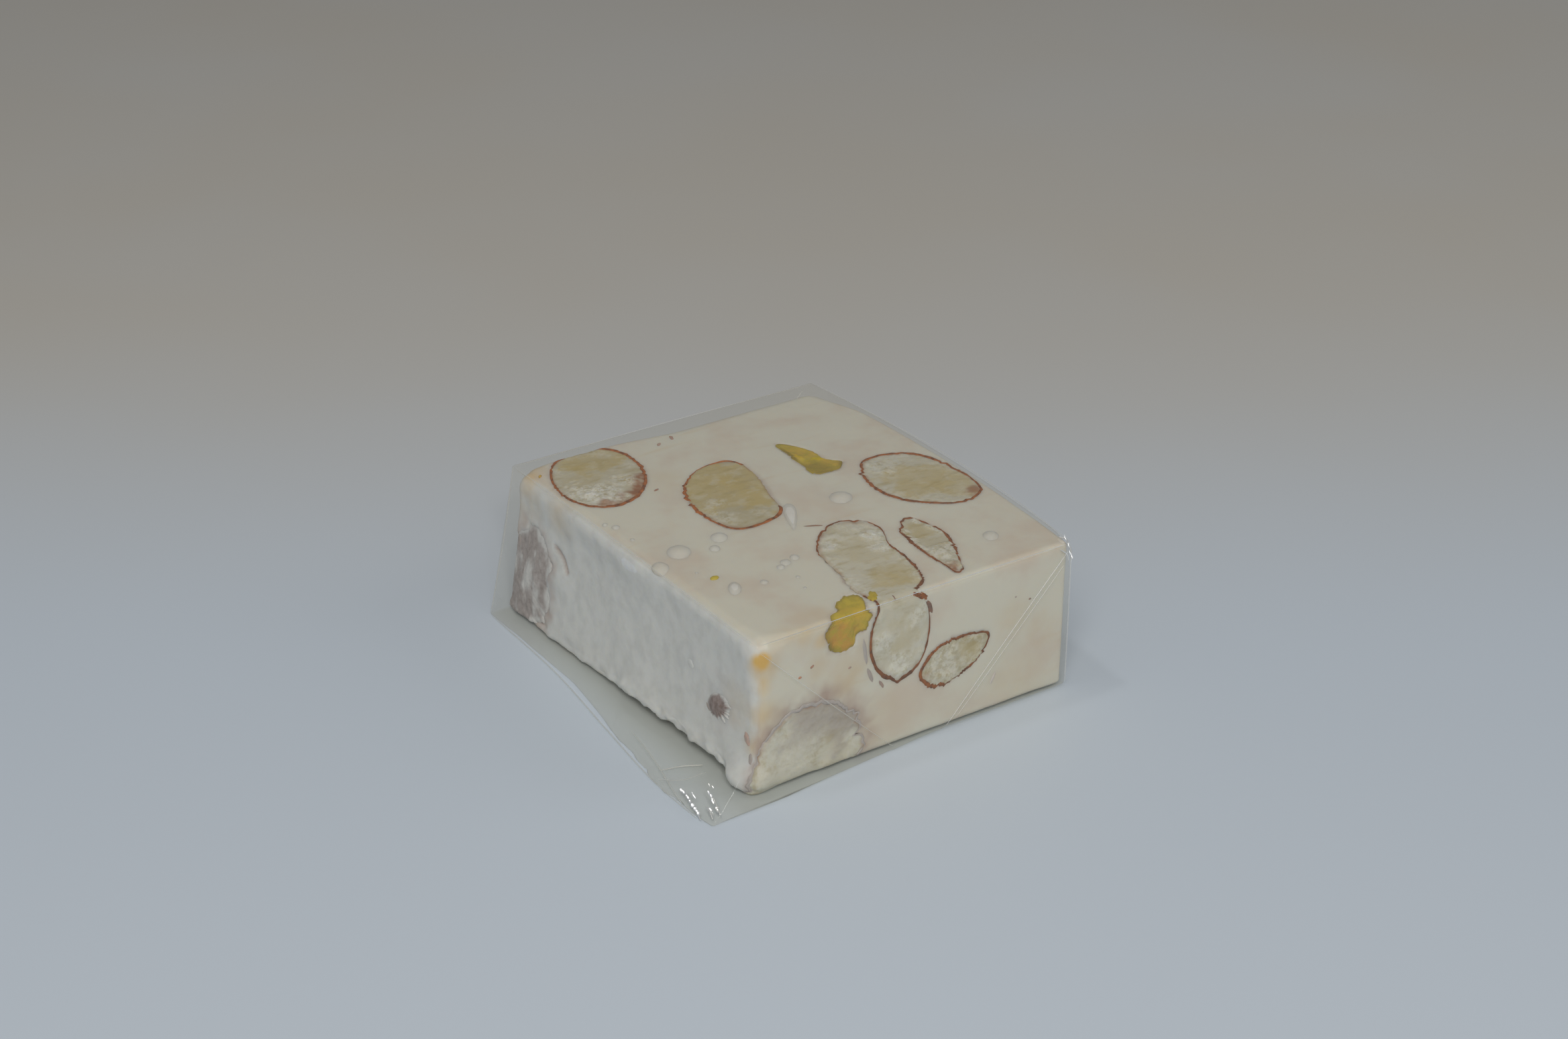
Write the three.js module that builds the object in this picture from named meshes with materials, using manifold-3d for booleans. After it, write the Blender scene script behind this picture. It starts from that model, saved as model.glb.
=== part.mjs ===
// A small block of soft nougat with almonds and pistachios, wrapped in clear folded film.
//
// Millimetres, +Z up. X runs across the folded ends, Y along the block, from the front
// end (-Y) to the back end (+Y). The block is laid out round the centre of the film's base,
// and the finished group is then moved so that its origin is the middle of its footprint.
//
// Every nut is a whole almond or pistachio piece that the knife went through: it is shaped
// first, then trimmed to the block, and the nougat gets a pocket round it.

import * as THREE from 'three';
import { mergeVertices } from 'three/addons/utils/BufferGeometryUtils.js';
import Module from 'manifold-3d';

const wasm = await Module();
wasm.setup();

// ---------------------------------------------------------------- driving dimensions

const PACK_WIDTH = 40;            // film, outside, across X at the top
const PACK_LENGTH = 49.2;         // film, outside, along Y
const PACK_HEIGHT = 17.65;        // film, outside

const FILM_WALL = 0.3;            // two to three layers of film, as folded
const CLEARANCE = 0.3;            // air between the film, the nougat and the nuts

const FILM_CORNER = 1.0;          // upright corners of the film
const FILM_EDGE = 0.6;            // rounding of the film's top edge
const SKIRT_BACK = 3.7;           // how far the loose side stands out at the floor, back end
const SKIRT_FRONT = 6.9;          // the same at the front end
const SKIRT_HANG_BACK = 1.1;      // 1 is a straight slope from the top edge to the floor
const SKIRT_HANG_FRONT = 4;       // more hugs the block and flares out only at the floor
const EAR_REACH = 1.9;            // the ear at the loose bottom corner, past the front end
const EAR_SPREAD = 22;            // length of front edge that the ear pulls out
const EAR_POWER = 3;

const FLAP_THICKNESS = 0.25;      // folded end flap, proud of the end
const FLAP_FOOT = 3.4;            // half width of the flap where it tucks under
const FLAP_DROP = 0.5;            // flap starts and ends this far inside the end's edges

const SEAM_WIDTH = 0.4;           // slit between the two edges of the sheet, under the base
const SEAM_X = 9;
const SEAM_LENGTH = 44;

const NOUGAT_CORNER = 1.6;        // upright corners of the nougat
const NOUGAT_EDGE_SIDE = 1.5;     // rounding along the top edge
const SIDE_LEAN_BACK = 1.9;       // how far the torn side leans out at the bottom, back end
const SIDE_LEAN_FRONT = 0.6;      // the same at the front end
const SIDE_WAVE = 0.35;           // its broad unevenness

const ALMOND_POCKET = 0.42;       // swelling that leaves the clearance round an almond
const PISTACHIO_POCKET = 0.8;     // and round a pistachio, whose faces lie slanting

const CORNER_STEPS = 3;           // facets in an upright corner
const LEFT_STEPS = 12;            // along the torn side
const FRONT_STEPS = 8;            // along the front end
const FILM_HEIGHTS = [1, 2, 3.4, 5.5, 9, 13];   // rings between the film's base and its top edge
const NUT_SEGMENTS = 12;          // round a nut
const NUT_STATIONS = 8;           // along it

// ---------------------------------------------------------------- derived sizes

const inset = FILM_WALL + CLEARANCE;
const nougatHalfX = PACK_WIDTH / 2 - inset;
const nougatHalfY = PACK_LENGTH / 2 - inset;
const nougatLow = inset;
const nougatTop = PACK_HEIGHT - inset;
const degrees = Math.PI / 180;

// ---------------------------------------------------------------- materials

function material(color, roughness, extra = {}) {
  return new THREE.MeshStandardMaterial({ color, roughness, metalness: 0, ...extra });
}

const nougatWhite = () => material(0xe6dcc8, 0.55);
const almondFlesh = () => material(0xd9c9a3, 0.6);
const almondSkin = () => material(0x7a4a3c, 0.75);
const pistachioGreen = () => material(0xa89a3c, 0.6);
const clearFilm = () => material(0xeef2f4, 0.12, { transparent: true, opacity: 0.35 });

// ---------------------------------------------------------------- solids

/** A closed three.js geometry as a manifold solid: only its welded positions are kept. */
function toSolid(geometry) {
  const bare = geometry.clone();
  bare.deleteAttribute('normal');
  bare.deleteAttribute('uv');
  const welded = mergeVertices(bare, 1e-4);
  return new wasm.Manifold(new wasm.Mesh({
    numProp: 3,
    vertProperties: new Float32Array(welded.attributes.position.array),
    triVerts: new Uint32Array(welded.index.array),
  }));
}

/** A manifold solid as a three.js geometry. */
function toGeometry(solid) {
  const mesh = solid.getMesh();
  const geometry = new THREE.BufferGeometry();
  geometry.setAttribute('position', new THREE.BufferAttribute(mesh.vertProperties, 3));
  geometry.setIndex(new THREE.BufferAttribute(mesh.triVerts, 1));
  geometry.computeVertexNormals();
  return geometry;
}

/** A closed skin over rings of equal count, stacked upwards, with a fan over each end. */
function loft(rings) {
  const count = rings[0].length;
  const middle = (ring) => ring
    .reduce((sum, p) => sum.add(p), new THREE.Vector3())
    .divideScalar(count);
  const points = [middle(rings[0]), ...rings.flat(), middle(rings[rings.length - 1])];
  const top = points.length - 1;
  const faces = [];
  for (let i = 0; i < count; i += 1) {
    const next = (i + 1) % count;
    faces.push(0, 1 + next, 1 + i);
    for (let level = 0; level < rings.length - 1; level += 1) {
      const low = 1 + level * count;
      const high = low + count;
      faces.push(low + i, low + next, high + next, low + i, high + next, high + i);
    }
    faces.push(top, top - count + i, top - count + next);
  }
  const geometry = new THREE.BufferGeometry().setFromPoints(points);
  geometry.setIndex(faces);
  return geometry;
}

/**
 * Points round a rectangle with rounded corners, counter-clockwise from the right side.
 * The left side and the front, which bend, get extra points; the straight sides need none.
 */
function roundedRectangle(halfX, halfY, radius, z) {
  const x = halfX - radius;
  const y = halfY - radius;
  const corners = [[x, y], [-x, y], [-x, -y], [x, -y]];
  const between = [0, LEFT_STEPS, FRONT_STEPS, 0];
  const ring = [];
  corners.forEach(([cx, cy], quarter) => {
    for (let step = 0; step <= CORNER_STEPS; step += 1) {
      const turn = (quarter + step / CORNER_STEPS) * (Math.PI / 2);
      ring.push(new THREE.Vector3(cx + radius * Math.cos(turn), cy + radius * Math.sin(turn), z));
    }
    const from = ring[ring.length - 1];
    const [nx, ny] = corners[(quarter + 1) % 4];
    const leave = (quarter + 1) * (Math.PI / 2);
    const to = new THREE.Vector3(nx + radius * Math.cos(leave), ny + radius * Math.sin(leave), z);
    for (let step = 1; step < between[quarter]; step += 1) {
      ring.push(new THREE.Vector3().lerpVectors(from, to, step / between[quarter]));
    }
  });
  return ring;
}

// ---------------------------------------------------------------- film

/** How far the loose film stands out at a place on its outline, at one height. */
function slackAt(point, height) {
  const fall = 1 - height / PACK_HEIGHT;
  const along = 0.5 - point.y / PACK_LENGTH;
  const onSide = THREE.MathUtils.smoothstep(-point.x, PACK_WIDTH / 2 - 3 * FILM_CORNER, PACK_WIDTH / 2);
  const hang = THREE.MathUtils.lerp(SKIRT_HANG_BACK, SKIRT_HANG_FRONT, along ** 3);
  const skirt = THREE.MathUtils.lerp(SKIRT_BACK, SKIRT_FRONT, along) * fall ** hang;
  const onEnd = THREE.MathUtils.smoothstep(-point.y, PACK_LENGTH / 2 - 2 * FILM_CORNER, PACK_LENGTH / 2);
  const fromCorner = THREE.MathUtils.clamp((point.x + PACK_WIDTH / 2) / EAR_SPREAD, 0, 1);
  const ear = EAR_REACH * (1 - fromCorner) ** 1.5 * fall ** EAR_POWER;
  return new THREE.Vector3(-skirt * onSide, -ear * onEnd, 0);
}

/** One ring of the film at a height, drawn in from the outside by the wall's depth. */
function filmRing(height, drawnIn, depth) {
  const ring = roundedRectangle(
    PACK_WIDTH / 2 - drawnIn - depth,
    PACK_LENGTH / 2 - drawnIn - depth,
    Math.max(FILM_CORNER - depth, 0.3),
    height,
  );
  return ring.map((p) => p.add(slackAt(p, height)));
}

/** The film's body at a depth below its outside: the outside itself, or the hollow. */
function filmBody(depth) {
  const top = PACK_HEIGHT - depth;
  const edge = FILM_EDGE - depth * 0.5;
  const rings = [depth, ...FILM_HEIGHTS].map((z) => filmRing(z, 0, depth));
  for (let step = 0; step <= 3; step += 1) {
    const turn = (step / 3) * (Math.PI / 2);
    const height = top - edge * (1 - Math.sin(turn));
    rings.push(filmRing(height, edge * (1 - Math.cos(turn)), depth));
  }
  return toSolid(loft(rings));
}

/** The last flap of a folded end: full width at the top, cut back at 45 degrees to its foot. */
function endFlap(side) {
  const halfTop = PACK_WIDTH / 2 - FLAP_DROP - FILM_CORNER;
  const flap = new THREE.Shape();
  flap.moveTo(-halfTop, PACK_HEIGHT - FILM_EDGE - FLAP_DROP);
  flap.lineTo(-FLAP_FOOT, FLAP_DROP);
  flap.lineTo(FLAP_FOOT, FLAP_DROP);
  flap.lineTo(halfTop, PACK_HEIGHT - FILM_EDGE - FLAP_DROP);
  const depth = FLAP_THICKNESS + FILM_WALL / 2;
  const plate = new THREE.ExtrudeGeometry(flap, { depth, bevelEnabled: false });
  plate.rotateX(Math.PI / 2);
  const start = PACK_LENGTH / 2 + FLAP_THICKNESS;
  plate.translate(0, side > 0 ? start : -start + depth, 0);
  return toSolid(plate);
}

/** The wrap: a hollow sleeve with folded ends, open along the seam under its base. */
function filmWrap() {
  const seam = new THREE.BoxGeometry(SEAM_WIDTH, SEAM_LENGTH, 4 * FILM_WALL);
  seam.translate(SEAM_X, 0, 0);
  return filmBody(0)
    .add(endFlap(-1))
    .add(endFlap(1))
    .subtract(filmBody(FILM_WALL))
    .subtract(toSolid(seam));
}

// ---------------------------------------------------------------- nougat block

/** One ring of the nougat: the torn side leans out and waves, the cut sides are straight. */
function nougatRing(height, drawnIn) {
  const up = (height - nougatLow) / (nougatTop - nougatLow);
  const ring = roundedRectangle(nougatHalfX - drawnIn, nougatHalfY - drawnIn, NOUGAT_CORNER, height);
  return ring.map((p) => {
    const onSide = THREE.MathUtils.smoothstep(-p.x, nougatHalfX - 3, nougatHalfX - drawnIn);
    const wave = SIDE_WAVE * Math.sin(0.31 * p.y + 1.7 * up) * Math.sin(0.13 * p.y + 2.6) * (1 - up);
    const along = 0.5 - p.y / (2 * nougatHalfY);
    const lean = THREE.MathUtils.lerp(SIDE_LEAN_BACK, SIDE_LEAN_FRONT, along) * (1 - up);
    p.x -= (lean + wave) * onSide;
    return p;
  });
}

function nougatBody() {
  const rings = [nougatRing(nougatLow, 0.5), nougatRing(nougatLow + 0.5, 0)];
  for (const part of [0.2, 0.4, 0.6, 0.78]) {
    rings.push(nougatRing(THREE.MathUtils.lerp(nougatLow, nougatTop, part), 0));
  }
  for (let step = 0; step <= 3; step += 1) {
    const turn = (step / 3) * (Math.PI / 2);
    const height = nougatTop - NOUGAT_EDGE_SIDE * 0.5 * (1 - Math.sin(turn));
    rings.push(nougatRing(height, NOUGAT_EDGE_SIDE * 0.5 * (1 - Math.cos(turn))));
  }
  return toSolid(loft(rings));
}

// ---------------------------------------------------------------- nuts

/** Half width of an almond at a station from its round end (0) to its tip (1). */
function almondOutline(station) {
  const t = 2 * station - 1;
  return Math.sqrt(Math.max(1 - t * t, 0)) * (1 - 0.2 * t - 0.12 * t * t);
}

/**
 * A whole almond: an outline turned round its long axis, then flattened. Its length lies
 * along X, its width along Y and its thickness along Z before it is turned and placed.
 * Swell makes it that much larger all round, for the pocket that holds it.
 */
function almond({ at, size, turn = 0, tip = 0, roll = 0 }, swell) {
  const profile = [];
  for (let i = 0; i <= NUT_STATIONS; i += 1) {
    const station = 0.5 - 0.5 * Math.cos((i / NUT_STATIONS) * Math.PI);
    const onAxis = i === 0 || i === NUT_STATIONS;
    profile.push(new THREE.Vector2(onAxis ? 0 : almondOutline(station), 2 * station - 1));
  }
  const nut = new THREE.LatheGeometry(profile, NUT_SEGMENTS);
  nut.rotateZ(-Math.PI / 2);
  nut.scale(...size.map((across) => across / 2 + swell));
  nut.rotateX(roll * degrees);
  nut.rotateY(-tip * degrees);
  nut.rotateZ(turn * degrees);
  nut.translate(...at);
  return toSolid(nut);
}

/** A broken pistachio: a long wedge, its two cut sides meeting at a blunt edge. */
function pistachioPiece({ at, size, turn = 0, tip = 0 }, swell) {
  const outline = new THREE.Shape();
  outline.moveTo(-0.5, 0.06);
  outline.quadraticCurveTo(-0.1, 0.5, 0.3, 0.5);
  outline.quadraticCurveTo(0.5, 0.44, 0.5, 0.1);
  outline.lineTo(0.34, -0.34);
  outline.quadraticCurveTo(0.05, -0.62, -0.28, -0.2);
  outline.closePath();
  const piece = new THREE.ExtrudeGeometry(outline, {
    depth: 1,
    bevelEnabled: false,
    curveSegments: 4,
  });
  piece.translate(0, 0, -0.5);
  piece.scale(...size.map((across) => across + 2 * swell));
  piece.rotateY(-tip * degrees);
  piece.rotateZ(turn * degrees);
  piece.translate(...at);
  return toSolid(piece);
}

// Each nut's place is measured from the centre of the base, and its size is length, width
// and thickness. Turn is about Z, tip lifts the pointed end, roll is about its own length.
const TOP = nougatTop;
const LOW = nougatLow;
const FRONT = -nougatHalfY;
const BACK = nougatHalfY;
const LEFT = -nougatHalfX;
const RIGHT = nougatHalfX;

const almonds = {
  // cut open on the top
  almond_top_far: [{ at: [-13.6, 16.5, TOP - 1], size: [16.6, 10.2, 7.6], turn: 67 }],
  almond_top_middle: [{ at: [-3.6, 4.2, TOP - 1.2], size: [17.4, 11.2, 8], turn: 65 }],
  almond_top_right: [{ at: [15.4, -3.6, TOP - 1], size: [15.6, 12, 8], turn: 107 }],
  almond_top_sliver: [{ at: [7.5, -16.8, TOP - 0.9], size: [13, 4.8, 8], turn: 78 }],
  // over the front top edge: one almond in two lobes
  almond_front_edge: [
    { at: [-0.8, -16.6, TOP - 0.8], size: [20.6, 9, 7.4], turn: 254 },
    { at: [-2.3, FRONT + 1.6, 13.2], size: [10.8, 7.6, 8], turn: 270, tip: -78 },
  ],
  // cut open on the front end
  almond_front_small: [{ at: [4.9, FRONT + 1, 8.2], size: [10, 7, 5.2], tip: 20 }],
  almond_front_corner: [{ at: [-13.4, FRONT + 0.8, 3.4], size: [14.6, 7.6, 10.5], turn: 172 }],
  // skin showing in the torn side
  almond_side_skin: [
    { at: [LEFT + 2.9, 17.4, 6.2], size: [16, 10, 8.4], turn: 86, tip: -8, roll: 80 },
  ],
  almond_side_tip: [{ at: [LEFT + 2, -16.8, 8.2], size: [9.4, 6, 5.2], turn: 84 }],
  // cut open on the right side, the back end and the base
  almond_right_side: [{ at: [RIGHT - 1.9, 12.4, 9.4], size: [17, 10.8, 9], turn: 90, tip: 20 }],
  almond_right_low: [{ at: [RIGHT - 2.4, -14.2, 5.2], size: [15, 10, 8.4], turn: 94, tip: -14 }],
  almond_back_left: [{ at: [-3, BACK - 1.9, 8.2], size: [15, 9.6, 8.4], turn: 4, tip: 28 }],
  almond_back_right: [{ at: [9.6, BACK - 2.2, 5.6], size: [13, 9.6, 8], tip: -18 }],
  almond_base_front: [{ at: [0.6, -9.4, LOW + 1.6], size: [17.4, 11, 8], turn: 38 }],
  almond_base_back: [{ at: [-4.4, 8.4, LOW + 1.6], size: [16.4, 10.2, 8], turn: 112 }],
};

const pistachios = {
  pistachio_top: [{ at: [8.6, 8, TOP - 0.8], size: [9.8, 4.2, 3.6], turn: -72 }],
  pistachio_front_edge: [{ at: [-9.2, FRONT + 0.9, TOP - 1.6], size: [5.2, 4.6, 4.2], turn: 8, tip: 12 }],
  pistachio_back: [{ at: [14.2, BACK - 0.9, 12.6], size: [7, 3.4, 3.6], turn: 12, tip: 40 }],
  pistachio_base: [{ at: [12.4, 14.4, LOW + 0.9], size: [7.6, 3.8, 3.2], turn: 30 }],
};

// ---------------------------------------------------------------- the part

function addNode(group, name, solid, look) {
  const mesh = new THREE.Mesh(toGeometry(solid), look);
  mesh.name = name;
  group.add(mesh);
}

/** Joins the lobes of one nut, each made by the same shaping function. */
function joined(lobes, shape, swell) {
  return lobes.map((lobe) => shape(lobe, swell)).reduce((all, one) => all.add(one));
}

function wrappedNougat() {
  const group = new THREE.Group();
  const whole = nougatBody();
  let nougat = whole;
  for (const [kind, shape, look, swell] of [
    [almonds, almond, almondFlesh, ALMOND_POCKET],
    [pistachios, pistachioPiece, pistachioGreen, PISTACHIO_POCKET],
  ]) {
    for (const [name, lobes] of Object.entries(kind)) {
      const skinned = name.startsWith('almond_side');
      addNode(group, name, joined(lobes, shape, 0).intersect(whole), skinned ? almondSkin() : look());
      nougat = nougat.subtract(joined(lobes, shape, swell));
    }
  }
  addNode(group, 'nougat_block', nougat, nougatWhite());
  addNode(group, 'film_wrap', filmWrap(), clearFilm());

  const box = new THREE.Box3().setFromObject(group);
  const middle = box.getCenter(new THREE.Vector3());
  group.position.set(-middle.x, -middle.y, -box.min.z);
  return group;
}

export default wrappedNougat();
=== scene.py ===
"""A piece of soft white nougat with cut almonds and pistachios in a clear folded film.

Lengths inside the script are millimetres in the block's own frame: X across the folded
ends, Y along the block, Z up from the ground, with the middle of the film's top at x = y = 0.
to_row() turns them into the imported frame's metres.
"""

import bpy
import numpy as np
from bpy.props import FloatProperty, FloatVectorProperty, IntProperty, PointerProperty
from mathutils import Matrix, Vector


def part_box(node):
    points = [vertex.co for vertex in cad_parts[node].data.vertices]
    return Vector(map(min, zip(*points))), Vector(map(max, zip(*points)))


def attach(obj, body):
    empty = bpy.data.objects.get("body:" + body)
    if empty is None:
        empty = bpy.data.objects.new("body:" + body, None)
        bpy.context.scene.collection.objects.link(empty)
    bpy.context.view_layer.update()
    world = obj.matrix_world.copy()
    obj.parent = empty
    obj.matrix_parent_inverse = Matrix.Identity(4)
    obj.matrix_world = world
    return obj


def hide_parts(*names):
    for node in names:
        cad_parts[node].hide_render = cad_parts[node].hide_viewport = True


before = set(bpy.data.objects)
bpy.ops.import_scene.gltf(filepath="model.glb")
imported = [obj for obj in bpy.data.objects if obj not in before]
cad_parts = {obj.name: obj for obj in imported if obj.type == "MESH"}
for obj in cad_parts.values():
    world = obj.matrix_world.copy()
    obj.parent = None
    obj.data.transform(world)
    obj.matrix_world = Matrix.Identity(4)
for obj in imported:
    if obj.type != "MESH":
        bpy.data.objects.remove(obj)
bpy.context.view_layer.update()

bl_info = {
    "name": "Wrapped Nougat",
    "version": (1, 0, 0),
    "blender": (4, 5, 0),
    "location": "View3D > Sidebar > Nougat",
    "description": "Builds a film-wrapped nougat piece with cut nuts",
    "category": "Object",
}

MM = 0.001
FULL_TURN = 2 * np.pi

# The film's box, outside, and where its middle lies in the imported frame.
PACK_HALF = np.array([20.0, 24.6])
PACK_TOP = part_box("film_wrap")[1].z / MM
FLAP_PROUD = 0.25
FRAME_ORIGIN = np.array([
    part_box("film_wrap")[1].x / MM - PACK_HALF[0],
    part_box("film_wrap")[1].y / MM - PACK_HALF[1] - FLAP_PROUD,
    0.0,
])

# The nougat inside it, as a sharp block before its edges are rounded.
BLOCK_LOW = np.array([-19.7, -24.2, 0.3])
BLOCK_HIGH = np.array([19.75, 24.1, 17.45])
BLOCK_HALF = (BLOCK_HIGH - BLOCK_LOW) / 2
BLOCK_MIDDLE = (BLOCK_HIGH + BLOCK_LOW) / 2

# Each face: the axis it looks along, which way, and the two axes that measure places on it.
FACES = {
    "top": (2, 1, 0, 1), "base": (2, -1, 0, 1),
    "front": (1, -1, 0, 2), "back": (1, 1, 0, 2),
    "left": (0, -1, 1, 2), "right": (0, 1, 1, 2),
}

LIGHT_LEVEL = 0.55


# ------------------------------------------------------------------ sizes and colours


def paint(red, green, blue):
    """Linear paint colour that looks like this 0-255 tone under the stage's soft light."""
    tone = np.array([red, green, blue]) / 255
    linear = np.where(tone <= 0.04045, tone / 12.92, ((tone + 0.055) / 1.055) ** 2.4)
    return tuple(np.clip(linear / LIGHT_LEVEL, 0, 1))


def length(name, description, millimetres):
    return FloatProperty(name=name, description=description, default=millimetres * MM,
                         min=0, precision=5, unit="LENGTH", subtype="DISTANCE")


def colour(name, description, tone):
    return FloatVectorProperty(name=name, description=description, default=paint(*tone),
                               size=3, min=0, max=1, subtype="COLOR")


class NougatSettings(bpy.types.PropertyGroup):
    """Sizes and colours of the nougat block."""

    step: length("Mesh step", "Spacing of the block's surface grid", 0.29)
    torn_relief: length("Torn relief", "Unevenness of the torn side", 0.2)
    pocket: length("Pocket", "Depth of the hollow that a nut sits in", 0.9)
    edge: length("Edge", "Rounding of the block's edges where they are tightest", 0.75)
    bow: length("Bow", "How far the right side stands out along its middle", 1.75)
    crown: length("Crown", "How far the top rises in its middle", 0.25)
    lean_back: length("Lean, back", "How far the torn side's foot stands out at the back", 2.0)
    lean_front: length("Lean, front", "How far it stands out at the front", 0.6)
    cut: colour("Cut nougat", "Smooth cut faces", (171, 168, 157))
    torn: colour("Torn nougat", "Dull torn side", (172, 173, 172))
    # The stain colour also paints shade low on the front end.
    warm: colour("Stain", "Faint stain along drag marks", (164, 148, 122))
    peach: colour("Blush", "Pinkish cast between the nuts", (167, 158, 146))
    amber: colour("Amber", "Yellow-orange smears of pistachio oil", (172, 140, 74))
    # The halo colour also paints shade into the torn side's crevice.
    halo: colour("Halo", "Purple-brown shade the skins leave beside them", (138, 118, 108))


class NutSettings(bpy.types.PropertyGroup):
    """Sizes and colours of the almonds and pistachios."""

    skin_width: length("Skin width", "Half width of an almond's skin where it is cut", 0.28)
    spokes: IntProperty(name="Spokes", description="Points round a nut's outline", default=230)
    flesh: colour("Flesh", "Beige almond", (145, 137, 114))
    pale: colour("Pale flesh", "Whitish almond", (165, 162, 150))
    heart: colour("Heart", "Yellow-beige middle of an almond", (150, 135, 92))
    crystal: colour("Crystal", "White sugar on an almond", (173, 171, 162))
    skin_light: colour("Thin skin", "Orange-brown skin", (146, 84, 34))
    skin_dark: colour("Thick skin", "Dark red-brown skin", (92, 58, 36))
    rust: colour("Rust", "Scraps of skin on a cut face", (120, 80, 52))
    kernel: colour("Kernel skin", "Purple-brown skin of an almond that is not cut", (116, 104, 102))
    green: colour("Pistachio", "Yellow-green flesh", (159, 142, 46))
    green_dark: colour("Pistachio skin", "Brown-green rim", (106, 92, 32))
    gold: colour("Pistachio gold", "Orange-yellow flesh", (156, 118, 48))


class FilmSettings(bpy.types.PropertyGroup):
    """Sizes of the film."""

    step: length("Mesh step", "Spacing of the film's surface grid", 0.45)
    flap: length("Flap", "How far the last flap of a folded end stands out", 0.12)
    skirt_back: length("Skirt, back", "How far the loose side stands out at the back", 3.8)
    skirt_front: length("Skirt, front", "How far it stands out at the front", 6.9)
    ear: length("Ear", "How far the loose corner reaches past the front end", 1.9)
    tint: FloatVectorProperty(name="Tint", description="Share of light one side lets through",
                              default=(0.975, 0.966, 0.938), size=3, min=0, max=1,
                              subtype="COLOR")
    # Partly painted shade: the base near the block's foot takes this darker tint for the block's
    # shadow there, as well as for its lap.
    doubled_tint: FloatVectorProperty(name="Doubled tint",
                                      description="The same where the film's base is lapped",
                                      default=(0.93, 0.915, 0.87), size=3, min=0, max=1,
                                      subtype="COLOR")


class StageSettings(bpy.types.PropertyGroup):
    """Camera, floor and lights."""

    lens: FloatProperty(name="Lens", description="Focal length in millimetres", default=60.84)
    distance: length("Distance", "Camera to the piece", 302.3)
    azimuth: FloatProperty(name="Azimuth", description="Camera's turn about the piece",
                           default=np.radians(-34.1), subtype="ANGLE", unit="ROTATION")
    elevation: FloatProperty(name="Elevation", description="Camera's height angle",
                             default=np.radians(26.97), subtype="ANGLE", unit="ROTATION")
    floor: colour("Floor", "Pale matte floor", (160, 167, 174))
    far_floor: colour("Far floor", "The floor behind the piece", (159, 154, 145))


def settings(group):
    """The property group of this name, with the values that the panel shows."""
    return getattr(bpy.context.scene, group)


def in_mm(group, name):
    return getattr(settings(group), name) / MM


# ------------------------------------------------------------------ small maths


def smooth(low, high, value):
    """0 below low, 1 above high and a cubic ease between; low may be the larger."""
    t = np.clip((value - low) / (high - low), 0, 1)
    return t * t * (3 - 2 * t)


def grain(points, size, seed):
    """Random field from -1 to 1: hashed values on a cubic grid of this size, eased between."""
    scaled = points / size
    cell = np.floor(scaled).astype(np.int64)
    inside = scaled - cell
    inside = inside * inside * (3 - 2 * inside)
    total = np.zeros(len(points))
    for corner in np.ndindex(2, 2, 2):
        at = cell + corner
        key = at[:, 0] * 73856093 ^ at[:, 1] * 19349663 ^ at[:, 2] * 83492791 ^ seed * 2654435761
        key = (key ^ (key >> 13)) * 1274126177 & 0x7FFFFFFF
        value = ((key ^ (key >> 16)) & 0xFFFF) / 0x7FFF - 1
        weight = np.prod(np.where(corner, inside, 1 - inside), axis=1)
        total += weight * value
    return total


def rough(points, size, seed, octaves=4):
    """Sum of grains, each half the size and half the height of the one before."""
    return sum(grain(points, size / 2 ** k, seed + k) / 2 ** k for k in range(octaves))


def ring_noise(angle, waves, seed, first=1):
    """Smooth random wobble round a closed outline: a sum of sines, from the first wave to this
    many, the finer ones lower."""
    draw = np.random.default_rng(seed)
    total = np.zeros_like(angle)
    for wave in range(first, waves + 1):
        height = draw.normal() * (first / wave) ** 0.7
        total += height * np.sin(wave * angle + draw.uniform(0, FULL_TURN))
    return total / np.sqrt(waves / first) * 1.4


# ------------------------------------------------------------------ mesh helpers


def to_row(points):
    return (np.asarray(points) + FRAME_ORIGIN) * MM


def unit(vectors):
    return vectors / np.maximum(np.linalg.norm(vectors, axis=-1, keepdims=True), 1e-9)


def ring_angles(count):
    """Bearings of this many points spread evenly round a circle."""
    return np.arange(count) / count * FULL_TURN


def ring_quads(rings, spokes, closed=False):
    """Quads between rings of points stored one after another; closed joins the last ring to
    the first."""
    ring, spoke = np.meshgrid(np.arange(rings if closed else rings - 1), np.arange(spokes),
                              indexing="ij")
    here = ring * spokes
    there = (ring + 1) % rings * spokes
    after = (spoke + 1) % spokes
    quads = np.stack([here + spoke, here + after, there + after, there + spoke], -1)
    return quads.reshape(-1, 4)


def fan(hub, ring, spokes):
    """Triangles from the point numbered hub to the ring whose first point is numbered ring."""
    around = np.arange(spokes)
    return np.stack([np.full(spokes, hub), ring + around, ring + (around + 1) % spokes], -1)


def closed_rings(rings, spokes):
    """Faces of a closed shape whose points are its rings, then the pole beyond the last ring,
    then the pole before the first. They face outwards where the rings turn anticlockwise as
    seen from beyond the last one."""
    beyond = rings * spokes
    return [ring_quads(rings, spokes), fan(beyond, beyond - spokes, spokes),
            fan(beyond + 1, 0, spokes)[:, ::-1]]


def flipped(faces):
    return [part[:, ::-1] for part in faces]


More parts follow.
